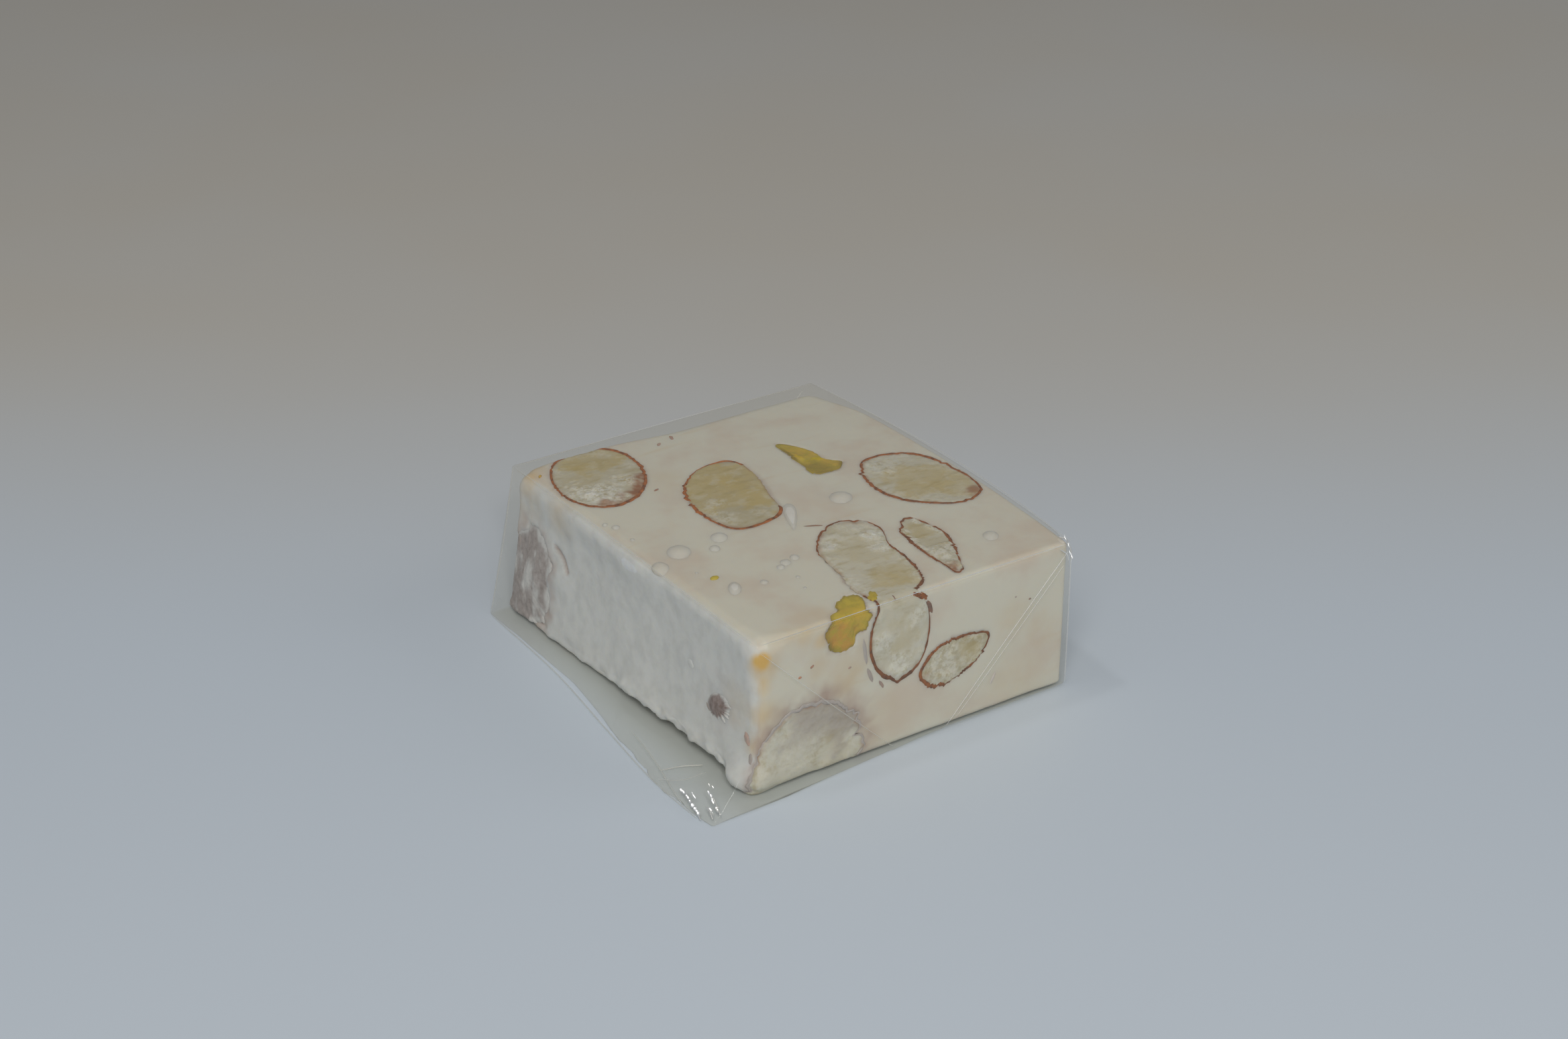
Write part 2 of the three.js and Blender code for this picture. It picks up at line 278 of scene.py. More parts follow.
def box_lattice(stations):
    """Closed skin of a box cut at these x, y and z stations: each surface point once, and a
    quad for each cell, wound so that it faces outwards."""
    counts = [len(s) for s in stations]
    i, j, k = np.indices(counts)
    skin = np.zeros(counts, bool)
    for axis, index in enumerate((i, j, k)):
        skin |= (index == 0) | (index == counts[axis] - 1)
    number = np.full(counts, -1)
    number[skin] = np.arange(skin.sum())
    points = np.stack([stations[0][i[skin]], stations[1][j[skin]], stations[2][k[skin]]], -1)
    quads = []
    for axis in range(3):
        for end in (0, -1):
            sheet = np.moveaxis(number, axis, 0)[end]
            quad = np.stack([sheet[:-1, :-1], sheet[1:, :-1], sheet[1:, 1:], sheet[:-1, 1:]], -1)
            quad = quad.reshape(-1, 4)
            outwards = (end == -1) != (axis == 1)
            quads.append(quad if outwards else quad[:, ::-1])
    return points, np.concatenate(quads)


def graded(low, high, step, edge, fine):
    """Stations from low to high: a fine step within edge of either end, step between."""
    near = np.linspace(0, edge, int(round(edge / fine)) + 1)
    middle = np.linspace(low + edge, high - edge, int(round((high - low - 2 * edge) / step)) + 1)
    return np.concatenate([low + near[:-1], middle, high - near[:-1][::-1]])


def make_mesh(name, points, faces, material, attributes=None, row_frame=False):
    """A smooth-shaded object from points and a list of arrays of triangles or quads."""
    points = points if row_frame else to_row(points)
    mesh = bpy.data.meshes.new(name)
    mesh.vertices.add(len(points))
    mesh.vertices.foreach_set("co", points.astype(np.float32).ravel())
    mesh.loops.add(sum(part.size for part in faces))
    mesh.loops.foreach_set("vertex_index", np.concatenate([part.ravel() for part in faces]))
    totals = np.concatenate([np.full(len(part), part.shape[1]) for part in faces])
    mesh.polygons.add(len(totals))
    mesh.polygons.foreach_set("loop_start", np.concatenate([[0], np.cumsum(totals)[:-1]]))
    mesh.update(calc_edges=True)
    mesh.validate()
    mesh.polygons.foreach_set("use_smooth", np.ones(len(mesh.polygons), bool))
    for key, values in (attributes or {}).items():
        layer = mesh.attributes.new(key, "FLOAT", "POINT")
        layer.data.foreach_set("value", np.asarray(values, np.float32))
    piece = bpy.data.objects.new(name, mesh)
    bpy.context.scene.collection.objects.link(piece)
    mesh.materials.append(material)
    return piece


def join_mesh(name, parts, material):
    """One object from several (points, faces, attributes); an attribute may be one number for
    all the points of its part."""
    points, faces, values, start = [], [], {}, 0
    for part_points, part_faces, attributes in parts:
        points.append(part_points)
        faces.extend(face + start for face in part_faces)
        for key, value in attributes.items():
            values.setdefault(key, []).append(np.broadcast_to(value, len(part_points)))
        start += len(part_points)
    attributes = {key: np.concatenate(value) for key, value in values.items()}
    return make_mesh(name, np.concatenate(points), faces, material, attributes)


def tube(path, radius):
    """A closed tube: a circle of this radius carried along the path, square to it, and drawn
    to a point at both ends."""
    sides = 10
    ahead = unit(np.gradient(path, axis=0))
    steep = np.abs(ahead[:, 2:]) > 0.9
    across = unit(np.cross(ahead, np.where(steep, [[1, 0, 0]], [[0, 0, 1]])))
    other = np.cross(ahead, across)
    turn = ring_angles(sides)[:, None]
    taper = np.sqrt(np.clip(1 - np.linspace(-1, 1, len(path)) ** 8, 0.0004, 1))
    circles = np.cos(turn) * across[:, None] + np.sin(turn) * other[:, None]
    rings = path[:, None] + (radius * taper)[:, None, None] * circles
    points = np.concatenate([rings.reshape(-1, 3), path[-1:], path[:1]])
    return points, closed_rings(len(path), sides)


def spline(points, count):
    """Points spread along a smooth open curve through the given ones (Catmull-Rom)."""
    points = np.asarray(points, float)
    padded = np.concatenate([[2 * points[0] - points[1]], points, [2 * points[-1] - points[-2]]])
    at = np.linspace(0, len(points) - 1, count)
    k = np.minimum(at.astype(int), len(points) - 2)
    t = (at - k)[:, None]
    a, b, c, d = (padded[k + n] for n in range(4))
    return 0.5 * (2 * b + (c - a) * t + (2 * a - 5 * b + 4 * c - d) * t ** 2
                  + (3 * b - a - 3 * c + d) * t ** 3)


# ------------------------------------------------------------------ materials


class Nodes:
    """Short calls for one material's node tree."""

    def __init__(self, name):
        self.material = bpy.data.materials.new(name)
        self.material.use_nodes = True
        self.tree = self.material.node_tree
        self.tree.nodes.clear()
        self.output = self.tree.nodes.new("ShaderNodeOutputMaterial")
        self.place = self.tree.nodes.new("ShaderNodeTexCoord").outputs["Object"]

    def feed(self, socket, value):
        """Link another node's output to a socket, or set it to a number or a colour."""
        if isinstance(value, bpy.types.NodeSocket):
            self.tree.links.new(value, socket)
        elif socket.type == "RGBA":
            socket.default_value = (*value[:3], 1)
        else:
            socket.default_value = value

    def put(self, kind, inputs=None, **options):
        node = self.tree.nodes.new(kind)
        for key, value in options.items():
            setattr(node, key, value)
        for key, value in (inputs or {}).items():
            self.feed(node.inputs[key], value)
        return node

    def attribute(self, name):
        return self.put("ShaderNodeAttribute", attribute_name=name).outputs["Fac"]

    def noise(self, scale, detail, roughness=0.55, stretch=None, turn=(0, 0, 0)):
        """Noise in Object space; scale is features per millimetre, stretch scales the axes."""
        vector = self.place
        if stretch is not None:
            vector = self.put("ShaderNodeMapping", {"Vector": vector, "Scale": stretch,
                                                    "Rotation": turn}).outputs["Vector"]
        return self.put("ShaderNodeTexNoise", {"Vector": vector, "Scale": scale / MM,
                                               "Detail": detail, "Roughness": roughness},
                        ).outputs["Fac"]

    def ramp(self, value, low, high, top=1.0):
        """0 below low, rising smoothly to top above high."""
        return self.put("ShaderNodeMapRange", {"Value": value, "From Min": low, "From Max": high,
                                               "To Max": top},
                        interpolation_type="SMOOTHSTEP").outputs["Result"]

    def maths(self, operation, first, second):
        return self.put("ShaderNodeMath", {0: first, 1: second}, operation=operation).outputs[0]

    def mix(self, share, first, second):
        """The first colour going over to the second. The node has sockets of one name for each
        kind of data, so they are found by identifier."""
        node = self.put("ShaderNodeMix", data_type="RGBA")
        sockets = {socket.identifier: socket for socket in (*node.inputs, *node.outputs)}
        self.feed(sockets["Factor_Float"], share)
        self.feed(sockets["A_Color"], first)
        self.feed(sockets["B_Color"], second)
        return sockets["Result_Color"]

    def bump(self, height, strength, distance):
        return self.put("ShaderNodeBump", {"Height": height, "Strength": strength,
                                           "Distance": distance * MM}).outputs["Normal"]

    def principled(self, inputs):
        return self.put("ShaderNodeBsdfPrincipled", inputs).outputs["BSDF"]

    def finish(self, shader):
        self.tree.links.new(shader, self.output.inputs["Surface"])
        return self.material


def darker(tone, share):
    return tuple(channel * share for channel in tone)


def nougat_material():
    """Cream on the cut faces, whiter and duller where torn, with stains, drag marks, pores and
    painted shade.
    """
    look = settings("nougat_settings")
    n = Nodes("soft_nougat")
    torn = n.attribute("torn")
    drag = n.noise(0.35, 5, 0.6, stretch=(0.25, 2.2, 1.6), turn=(0, 0, 0.5))
    cut = n.mix(n.ramp(n.noise(0.13, 4), 0.42, 0.68), look.cut, look.peach)
    cut = n.mix(n.ramp(drag, 0.56, 0.78, top=0.35), cut, look.warm)
    dull = n.ramp(n.noise(0.5, 4, 0.6), 0.4, 0.7)
    tone = n.mix(torn, cut, n.mix(dull, look.torn, darker(look.torn, 0.9)))
    # The stain mark also paints shade low on the front end, and the halo mark paints shade in the
    # torn side's crevice.
    for mark, mark_tone in (("stain", look.warm), ("amber", look.amber), ("halo", look.halo)):
        tone = n.mix(n.attribute(mark), tone, mark_tone)
    pores = n.ramp(n.noise(3.0, 3, 0.6), 0.5, 0.75, top=0.12)
    relief = n.maths("ADD", n.maths("MULTIPLY", n.noise(1.1, 6, 0.6), torn),
                     n.maths("MULTIPLY", drag, 0.25))
    roughness = n.put("ShaderNodeMapRange", {"Value": torn, "To Min": 0.42, "To Max": 0.8})
    return n.finish(n.principled({
        "Base Color": n.mix(pores, tone, darker(look.cut, 0.82)),
        "Roughness": roughness.outputs["Result"],
        "Subsurface Weight": 0.35,
        "Subsurface Radius": (1.0, 0.8, 0.55),
        "Subsurface Scale": 1.6 * MM,
        "Normal": n.bump(relief, 0.13, 0.2),
    }))


def flesh_material():
    """Ivory flesh with a yellow heart, fine growth streaks and patches of white crystals."""
    look = settings("nut_settings")
    n = Nodes("almond_flesh")
    crystal = n.attribute("crystal")
    streak = n.noise(0.8, 5, 0.6, stretch=(0.5, 1.6, 1.0), turn=(0, 0, 0.9))
    tone = n.mix(n.attribute("pale"), look.flesh, look.pale)
    tone = n.mix(n.attribute("heart"), tone, look.heart)
    tone = n.mix(n.ramp(streak, 0.48, 0.7, top=0.5), tone, darker(look.heart, 0.76))
    tone = n.mix(n.ramp(n.noise(0.7, 4), 0.48, 0.7, top=0.35), tone, look.pale)
    speckle = n.ramp(n.noise(1.5, 6, 0.75), 0.4, 0.56)
    tone = n.mix(n.maths("MULTIPLY", crystal, speckle), tone, look.crystal)
    tone = n.mix(n.attribute("bruise"), tone, look.kernel)
    tone = n.mix(n.attribute("rust"), tone, look.rust)
    grit = n.maths("MULTIPLY", crystal, n.noise(2.6, 5, 0.75))
    return n.finish(n.principled({
        "Base Color": tone,
        "Roughness": 0.5,
        "Subsurface Weight": 0.25,
        "Subsurface Radius": (1.0, 0.75, 0.4),
        "Subsurface Scale": 1.2 * MM,
        "Normal": n.bump(n.maths("ADD", streak, grit), 0.3, 0.2),
    }))


def skin_material():
    """Almond skin from thin orange-brown to thick dark red-brown, dull; on an uncut almond it
    is purple-brown, and a veil of nougat may lie over it."""
    look = settings("nut_settings")
    n = Nodes("almond_skin")
    tone = n.mix(n.attribute("dark"), look.skin_light, look.skin_dark)
    tone = n.mix(n.attribute("kernel"), tone, look.kernel)
    tone = n.mix(n.ramp(n.noise(1.6, 4, 0.6), 0.35, 0.75), tone, darker(look.skin_dark, 0.62))
    tone = n.mix(n.attribute("veil"), tone, settings("nougat_settings").torn)
    return n.finish(n.principled({
        "Base Color": tone,
        "Roughness": 0.7,
        "Normal": n.bump(n.noise(2.4, 4, 0.6), 0.5, 0.15),
    }))


def pistachio_material():
    """Yellow-green flesh going gold, with a brown-green rim."""
    look = settings("nut_settings")
    n = Nodes("pistachio_flesh")
    tone = n.mix(n.attribute("gold"), look.green, look.gold)
    tone = n.mix(n.ramp(n.noise(0.9, 4, 0.6), 0.4, 0.7), tone, darker(look.green, 0.8))
    tone = n.mix(n.attribute("rim"), tone, look.green_dark)
    tone = n.mix(n.attribute("veil"), tone, settings("nougat_settings").cut)
    return n.finish(n.principled({
        "Base Color": tone,
        "Roughness": 0.45,
        "Subsurface Weight": 0.15,
        "Subsurface Radius": (0.9, 0.8, 0.3),
        "Subsurface Scale": 1.0 * MM,
        "Normal": n.bump(n.noise(1.4, 5, 0.65), 0.5, 0.2),
    }))


def film_material(name, mirror, haze, gloss_roughness):
    """Clear film: see-through straight on and a mirror at grazing angles. mirror is the share
    it reflects straight on, haze the part of that which is scattered."""
    look = settings("film_settings")
    n = Nodes(name)
    # The doubled tint is partly painted shade beside the block's foot.
    tint = n.mix(n.attribute("doubled"), look.tint, look.doubled_tint)
    clear = n.put("ShaderNodeBsdfTransparent", {"Color": tint}).outputs["BSDF"]
    gloss = n.principled({
        "Base Color": (0.92, 0.93, 0.93),
        "Metallic": 1 - haze,
        "Roughness": gloss_roughness,
    })
    facing = n.put("ShaderNodeLayerWeight", {"Blend": 0.5}).outputs["Facing"]
    grazing = n.maths("MULTIPLY", n.maths("POWER", facing, 5.0), 0.85)
    share = n.maths("ADD", grazing, mirror)
    both = n.put("ShaderNodeMixShader", {0: share, 1: clear, 2: gloss})
    return n.finish(both.outputs[0])


def floor_material():
    """Pale matte floor, cooler near the viewer and warmer behind the piece."""
    look = settings("stage_settings")
    n = Nodes("pale_floor")
    away = (-np.sin(look.azimuth), np.cos(look.azimuth), 0)
    behind = n.put("ShaderNodeVectorMath", {0: n.place, 1: away},
                   operation="DOT_PRODUCT").outputs["Value"]
    tone = n.mix(n.ramp(behind, -0.005, 0.11), look.floor, look.far_floor)
    mottle = n.mix(n.ramp(n.noise(0.012, 2), 0.3, 0.7), tone, look.floor)
    return n.finish(n.principled({
        "Base Color": n.mix(0.15, tone, mottle),
        "Roughness": 0.5,
    }))


# ------------------------------------------------------------------ the block's surface


def sag(x, y):
    """How far soft nougat stands out at the right, bowed along its length as a parabola, and up
    in the middle of its top, a parabola each way."""
    bow_middle, bow_half = 3, 27
    right = in_mm("nougat_settings", "bow") * (1 - ((y - bow_middle) / bow_half) ** 2)
    up = (1 - (x / PACK_HALF[0]) ** 2) * (1 - (y / PACK_HALF[1]) ** 2)
    return (np.maximum(right * np.clip(x / PACK_HALF[0], 0, 1), 0),
            np.maximum(in_mm("nougat_settings", "crown") * up, 0))


def edge_radius(p):
    """Rounding of the block's edges: tight at the front top, slack at the back and left."""
    high = smooth(9, 16, p[:, 2])
    back = smooth(14, 23, p[:, 1]) * high
    left = smooth(-15, -19, p[:, 0])
    corner = left * smooth(-19, -23, p[:, 1])
    slack = (0.6 + 1.5 * smooth(-9, 2, p[:, 0])) * back + 0.7 * left * high + 0.6 * corner
    return in_mm("nougat_settings", "edge") + slack - 0.2 * smooth(15, 19, p[:, 0])


def near_path(a, b, path, reach):
    """1 on a curve through these (a, b) points, easing to 0 at this distance from it."""
    path = spline(path, 40)
    gap = np.hypot(a[:, None] - path[:, 0], b[:, None] - path[:, 1])
    return smooth(reach, 0, gap.min(1))


def bell(p, middle, size):
    """1 at a place on the sharp block, falling off as a bell curve of these half widths."""
    return np.exp(-(((p - middle) / size) ** 2).sum(1))


# The torn side's crevice, as (y, z) points, carved and painted dark, and the soft swelling beside
# it.
CREVICE = [(15.4, 11.3), (14.4, 11.0), (13.4, 10.3), (12.7, 9.4)]
SWELLING, SWELLING_SIZE = [14.6, 8.0], [2.4, 1.8]

# The lobe that is drawn out at the torn side's front foot.
LOBE, LOBE_SIZE, LOBE_PROUD = [-19.7, -22.4, 1.4], [3, 2.6, 2.0], 1.3


def torn_shape(p, up):
    """Relief of the torn side: long drag ridges, a shelf under the top edge, a crevice above the
    whole almond, a swelling beside it and a low lip that breaks off."""
    drawn = p @ np.array([[1, 0, 0], [0, 1.0, -0.25], [0, 0.5, 0.42]])
    ridges = 1.5 * rough(drawn, 7.5, 11, 2) + 0.22 * rough(drawn, 1.9, 12, 2)
    shelf = smooth(0.72, 0.9, up + 0.06 * rough(p, 5.0, 18, 2)) * smooth(-14, 4, p[:, 1])
    lip = smooth(0.16, 0.0, up) * rough(p, 1.5, 13)
    return (in_mm("nougat_settings", "torn_relief") * ridges + 0.03 * rough(p, 0.9, 17, 2)
            + 0.3 * shelf - 0.28 * near_path(p[:, 1], p[:, 2], CREVICE, 0.6)
            + 0.3 * bell(p[:, 1:], SWELLING, SWELLING_SIZE) + 0.26 * lip)


def block_surface(p, lift=0.0):
    """Points of the sharp block, carried to the real one: the edges are rounded, the torn side
    leans out, undercuts and breaks up, and each point is moved out by lift along its normal.
    Also gives how torn the surface is at each point, 0 to 1."""
    radius = edge_radius(p)
    core = BLOCK_MIDDLE + np.clip(p - BLOCK_MIDDLE, -(BLOCK_HALF - radius[:, None]),
                                  BLOCK_HALF - radius[:, None])
    normal = unit(p - core)
    torn = smooth(0.45, 0.85, -normal[:, 0])
    up = (p[:, 2] - BLOCK_LOW[2]) / (BLOCK_HIGH[2] - BLOCK_LOW[2])
    cut_relief = 0.04 * rough(p, 7.0, 14, 2) + 0.012 * rough(p, 0.9, 15, 2)
    relief = torn * torn_shape(p, up) + (1 - torn) * cut_relief
    relief += LOBE_PROUD * bell(p, LOBE, LOBE_SIZE)
    moved = core + normal * (radius + relief + lift)[:, None]

    # The torn side leans out towards its foot, more at the back, and is hollow half way up.
    along = 0.5 - p[:, 1] / (2 * BLOCK_HALF[1])
    back, front = (in_mm("nougat_settings", name) for name in ("lean_back", "lean_front"))
    lean = (back + (front - back) * along) * (1 - up) ** 1.2 - 0.35 * np.sin(up * np.pi)
    moved[:, 0] -= lean * smooth(-12, -19.5, p[:, 0])

    # Its underside is undercut and ragged, except at the front lobe, which reaches the floor.
    ragged = 0.85 - 0.32 * rough(p, 5.0, 16, 2) - 0.26 * rough(p, 1.0, 19, 3)
    ragged *= 0.1 + 0.9 * smooth(11, -7, p[:, 1])
    undercut = ragged * smooth(-13, -19.7, p[:, 0]) * smooth(0.22, 0, up)
    moved[:, 2] += undercut * (1 - 0.9 * np.exp(-((p[:, 1] + 22.9) / 2.4) ** 2))

    right, high = sag(p[:, 0], p[:, 1])
    moved[:, 0] += right
    moved[:, 2] = np.maximum(moved[:, 2] + high * up, 0.1)
    return moved, torn


def on_face(face, a, b):
    """Sharp block point at face coordinates (a, b); past an edge it carries on down the next
    face, as paper folded over the edge would."""
    axis, sign, first, second = FACES[face]
    p = np.empty((len(a), 3))
    over = np.zeros(len(a))
    for along, value in ((first, a), (second, b)):
        p[:, along] = np.clip(value, BLOCK_LOW[along], BLOCK_HIGH[along])
        over += np.abs(value - p[:, along])
    p[:, axis] = (BLOCK_HIGH if sign > 0 else BLOCK_LOW)[axis] - sign * over
    return p


def off_face(face, p):
    """The reverse: face coordinates of sharp block points, and how far past an edge they are."""
    axis, sign, first, second = FACES[face]
    depth = sign * ((BLOCK_HIGH if sign > 0 else BLOCK_LOW)[axis] - p[:, axis])
    places = []
    for along in (first, second):
        beyond = (p[:, along] >= BLOCK_HIGH[along] - 1e-6).astype(float)
        beyond -= p[:, along] <= BLOCK_LOW[along] + 1e-6
        places.append(p[:, along] + beyond * depth)
    return places[0], places[1], depth


# ------------------------------------------------------------------ nuts

# Places are face coordinates. A nut's outline is an oval (a, b, length, width, turn in degrees)
# or a closed curve through a few corners. pale and dark are the tones of its flesh and skin.
# bare is the stretch with no skin, in degrees; ragged and teeth are how jagged the outline is
# and how finely; frost is how much sugar lies along it; faint is how much nougat veils its
# skin; halo is how strongly the skin shades the nougat, as far out as halo_reach. heart,
# crystals, rust and bruise are patches: (a, b, reach, strength).

ALMONDS = {
    "almond_top_far": dict(
        face="top", oval=(-13.3, 17.0, 15.2, 10.2, 70), seed=3,
        pale=0.3, dark=0.12, ragged=0.6, frost=0.35,
        heart=[(-11.6, 21.0, 4.6, 0.9), (-14.6, 17.0, 2.4, 0.3)],
        crystals=[(-15.4, 12.6, 4.2, 1.0), (-12.0, 14.6, 2.2, 0.6)],
        rust=[(-12.4, 10.6, 2.8, 1.0), (-9.6, 12.8, 2.8, 1.0), (-16.0, 10.4, 1.6, 0.7)]),
    "almond_top_middle": dict(
        face="top", corners=[(-8.9, 3.0), (-7.5, 8.3), (-4.0, 11.7), (0.0, 12.4), (1.3, 10.2),
                             (0.9, 6.4), (-0.3, 2.4), (-1.5, -1.6), (-4.8, -2.9), (-8.0, -2.0)],
        seed=5, pale=0.0, dark=0.1, ragged=0.7, frost=0.1, bare=(-68, 52),
        heart=[(-2.4, 6.6, 7.5, 1.0)],
        crystals=[(-7.4, 0.4, 2.4, 0.5), (-6.2, 4.0, 1.8, 0.45), (-3.6, -0.6, 1.6, 0.3)]),
    "almond_top_right": dict(
        face="top", corners=[(9.5, -3.0), (10.1, 0.6), (12.0, 3.6), (15.3, 3.9), (18.0, 1.4),
                             (18.9, -3.2), (19.0, -7.2), (17.8, -9.7), (14.8, -10.3),
                             (11.8, -8.3), (10.2, -6.2)],
        seed=8, pale=0.6, dark=0.3, ragged=1.3, frost=0.3,
        heart=[(14.4, -4.2, 4.6, 0.75), (16.2, -6.4, 3.4, 0.65)],
        crystals=[(12.2, 1.4, 2.4, 0.6), (15.0, 2.2, 1.8, 0.5), (13.6, -7.6, 1.6, 0.3)],
        rust=[(17.8, -9.0, 1.5, 0.8)]),
    "almond_top_sliver": dict(
        face="top", corners=[(7.9, -10.4), (9.0, -11.4), (9.6, -14.0), (9.4, -16.6), (8.5, -19.2),
                             (6.9, -22.3), (5.9, -23.0), (5.6, -20.0), (5.7, -15.8),
                             (6.3, -12.4)],
        seed=13, pale=0.35, dark=0.6, ragged=1.5, frost=0.75,
        heart=[(7.6, -13.4, 2.6, 0.6)], crystals=[(7.0, -18.8, 2.4, 0.8), (8.8, -11.6, 1.0, 1.0)],
        rust=[(6.3, -21.8, 1.2, 0.9)]),
    "almond_front_edge": dict(
        face="top",
        corners=[(1.8, -7.3), (-0.6, -8.1), (-2.9, -10.4), (-3.8, -12.6), (-4.3, -16.4),
                 (-5.2, -20.4), (-4.7, -23.8), (-5.5, -26.4), (-5.8, -29.0), (-4.9, -31.6),
                 (-3.4, -33.2), (-1.6, -33.6), (0.4, -32.4), (1.5, -29.6), (1.4, -26.6),
                 (0.2, -24.9), (-0.6, -23.7), (1.2, -22.9), (2.6, -21.0), (3.4, -17.2),
                 (3.5, -14.2), (4.8, -10.7), (3.8, -8.2)],
        seed=21, pale=0.7, dark=0.65, ragged=1.6, teeth=120, frost=0.5, bare=(105, 190),
        heart=[(0.2, -19.8, 3.6, 0.75), (0.4, -13.2, 4.2, 0.3), (-2.0, -28.4, 2.6, 0.25)],
        crystals=[(-1.9, -11.2, 1.7, 1.0), (3.4, -11.4, 1.6, 1.0), (2.4, -14.2, 1.5, 0.9),
                  (-2.3, -32.0, 2.4, 1.0), (-4.4, -28.6, 1.7, 0.9), (0.2, -27.0, 1.6, 0.8)],
        rust=[(0.3, -24.6, 1.3, 1.0)]),
    "almond_front_small": dict(
        face="front", corners=[(0.5, 7.5), (1.4, 9.0), (2.7, 10.0), (4.6, 10.4), (7.3, 10.4),
                               (9.4, 9.8), (9.2, 8.5), (7.8, 7.1), (5.4, 6.0), (3.0, 5.5),
                               (1.6, 6.1)],
        seed=34, pale=0.1, dark=0.6, ragged=1.4, frost=0.55,
        heart=[(7.0, 8.7, 1.8, 0.4)], crystals=[(3.4, 7.8, 3.0, 0.7), (5.6, 7.2, 2.0, 0.45)],
        rust=[(1.6, 7.0, 1.0, 0.6)]),
    "almond_front_corner": dict(
        face="front", oval=(-13.4, 1.9, 13.2, 13.6, 150), seed=55,
        pale=0.9, dark=0.8, ragged=1.6, frost=0.6, faint=0.5, halo=0.9, halo_reach=3.0,
        heart=[(-9.4, 2.4, 3.0, 0.15)], crystals=[(-14.8, 4.2, 5.5, 0.5)],
        bruise=[(-12.8, 7.4, 5.0, 0.5), (-9.0, 6.4, 5.0, 0.55)]),
    "almond_right_side": dict(
        face="right", corners=[(4.9, 7.0), (7.4, 10.6), (11.4, 13.0), (15.6, 13.4), (18.8, 11.8),
                               (19.4, 9.4), (16.8, 6.6), (12.6, 5.2), (8.2, 5.2)], seed=89,
        pale=0.3, dark=0.3, ragged=0.9, frost=0.3,
        heart=[(12.0, 9.2, 4.0, 0.8)], crystals=[(15.6, 10.6, 2.6, 0.9)]),
    "almond_right_low": dict(
        face="right", oval=(-14.2, 5.2, 13.4, 7.6, 166), seed=91,
        pale=0.4, dark=0.5, ragged=1.2, frost=0.5,
        heart=[(-14.8, 5.4, 3.4, 0.6)], crystals=[(-11.4, 4.4, 2.2, 0.9)]),
    "almond_back_left": dict(
        face="back", corners=[(-9.0, 5.6), (-5.6, 4.6), (-1.6, 5.4), (2.0, 8.6), (3.3, 12.2),
                              (-0.2, 12.4), (-4.6, 11.6), (-8.2, 8.8)], seed=97,
        pale=0.3, dark=0.4, ragged=0.8, frost=0.3,
        heart=[(-3.4, 8.0, 3.8, 0.8)], crystals=[(0.4, 10.2, 2.2, 0.9)]),
    "almond_back_right": dict(
        face="back", oval=(9.6, 5.6, 11.4, 6.8, 162), seed=101,
        pale=0.5, dark=0.6, ragged=0.9, frost=0.6,
        heart=[(9.4, 5.6, 2.6, 0.5)], crystals=[(11.8, 5.0, 2.0, 0.9)]),
    "almond_base_front": dict(
        face="base", oval=(0.6, -9.4, 16.4, 10.2, 38), seed=103,
        pale=0.3, dark=0.4, ragged=1.0, frost=0.3,
        heart=[(0.4, -9.6, 4.6, 0.9)], crystals=[(4.0, -6.6, 2.6, 0.8)]),
    "almond_base_back": dict(
        face="base", oval=(-4.4, 8.4, 15.4, 9.4, 112), seed=107,
        pale=0.3, dark=0.45, ragged=1.2, frost=0.4,
        heart=[(-4.2, 8.0, 4.2, 0.7)], crystals=[(-5.8, 12.4, 2.4, 0.9)]),
}

# Almonds that were torn past, not cut: their own wrinkled skin shows. bulge is how far it
# stands out and sink how deep its edge is buried; smear is the least and most nougat over it,
# and veil how much of it is smeared; cover is how far the nougat laps over it, and pocket how
# deep a hollow it sits in.
SKIN_PATCHES = {
    "almond_side_skin": dict(face="left", oval=(20.8, 5.4, 13.5, 9.4, 104), seed=61, bulge=0.5,
                             cover=-0.2, pocket=0.45, sink=0.2, veil=0.0, smear=(0.32, 0.8),
                             ragged=1.5),
    "almond_side_tip": dict(face="left", oval=(-17.4, 7.4, 4.4, 2.9, 160), seed=67, bulge=0.3,
                            cover=-0.3, pocket=0.0, sink=0.02, veil=-0.9, smear=(0.1, 0.8),
                            ragged=2.5, halo=0.12),
}

# Pistachio pieces. gold is how far the flesh goes to orange; golden is a spot that is all gold
# and shade a spot as dark as the rim, each (a, b, reach).
PISTACHIOS = {
    "pistachio_top": dict(
        face="top", corners=[(6.9, 12.7), (8.4, 10.8), (9.0, 8.4), (9.0, 6.1), (10.1, 4.7),
                             (8.5, 3.4), (6.2, 4.0), (6.3, 6.2), (6.5, 9.0)], seed=71, gold=0.2,
        shade=(6.7, 4.8, 2.8)),
    "pistachio_front_edge": dict(
        face="front", corners=[(-11.3, 16.2), (-10.5, 17.2), (-10.2, 18.3), (-9.0, 18.9),
                               (-8.4, 20.0), (-7.2, 20.7), (-5.9, 20.6), (-5.3, 19.8),
                               (-5.8, 18.6), (-6.2, 17.6), (-5.7, 16.6), (-6.5, 15.3),
                               (-7.7, 14.9), (-8.0, 13.8), (-9.5, 13.5), (-10.7, 14.3)],
        seed=73, gold=0.25, ragged=1.6, golden=(-10.0, 15.0, 3.3)),
    "pistachio_back": dict(
        face="back", corners=[(11.0, 10.2), (12.2, 13.4), (15.6, 15.6), (17.0, 14.2),
                              (15.4, 11.2)], seed=79, gold=0.4),
    "pistachio_base": dict(
        face="base", corners=[(9.2, 12.4), (11.4, 16.0), (15.0, 17.4), (15.8, 15.2),
                              (12.6, 12.0)], seed=83, gold=0.5),
}


def nut_middle(nut):
    return np.mean(nut["corners"], axis=0) if "corners" in nut else np.array(nut["oval"][:2])


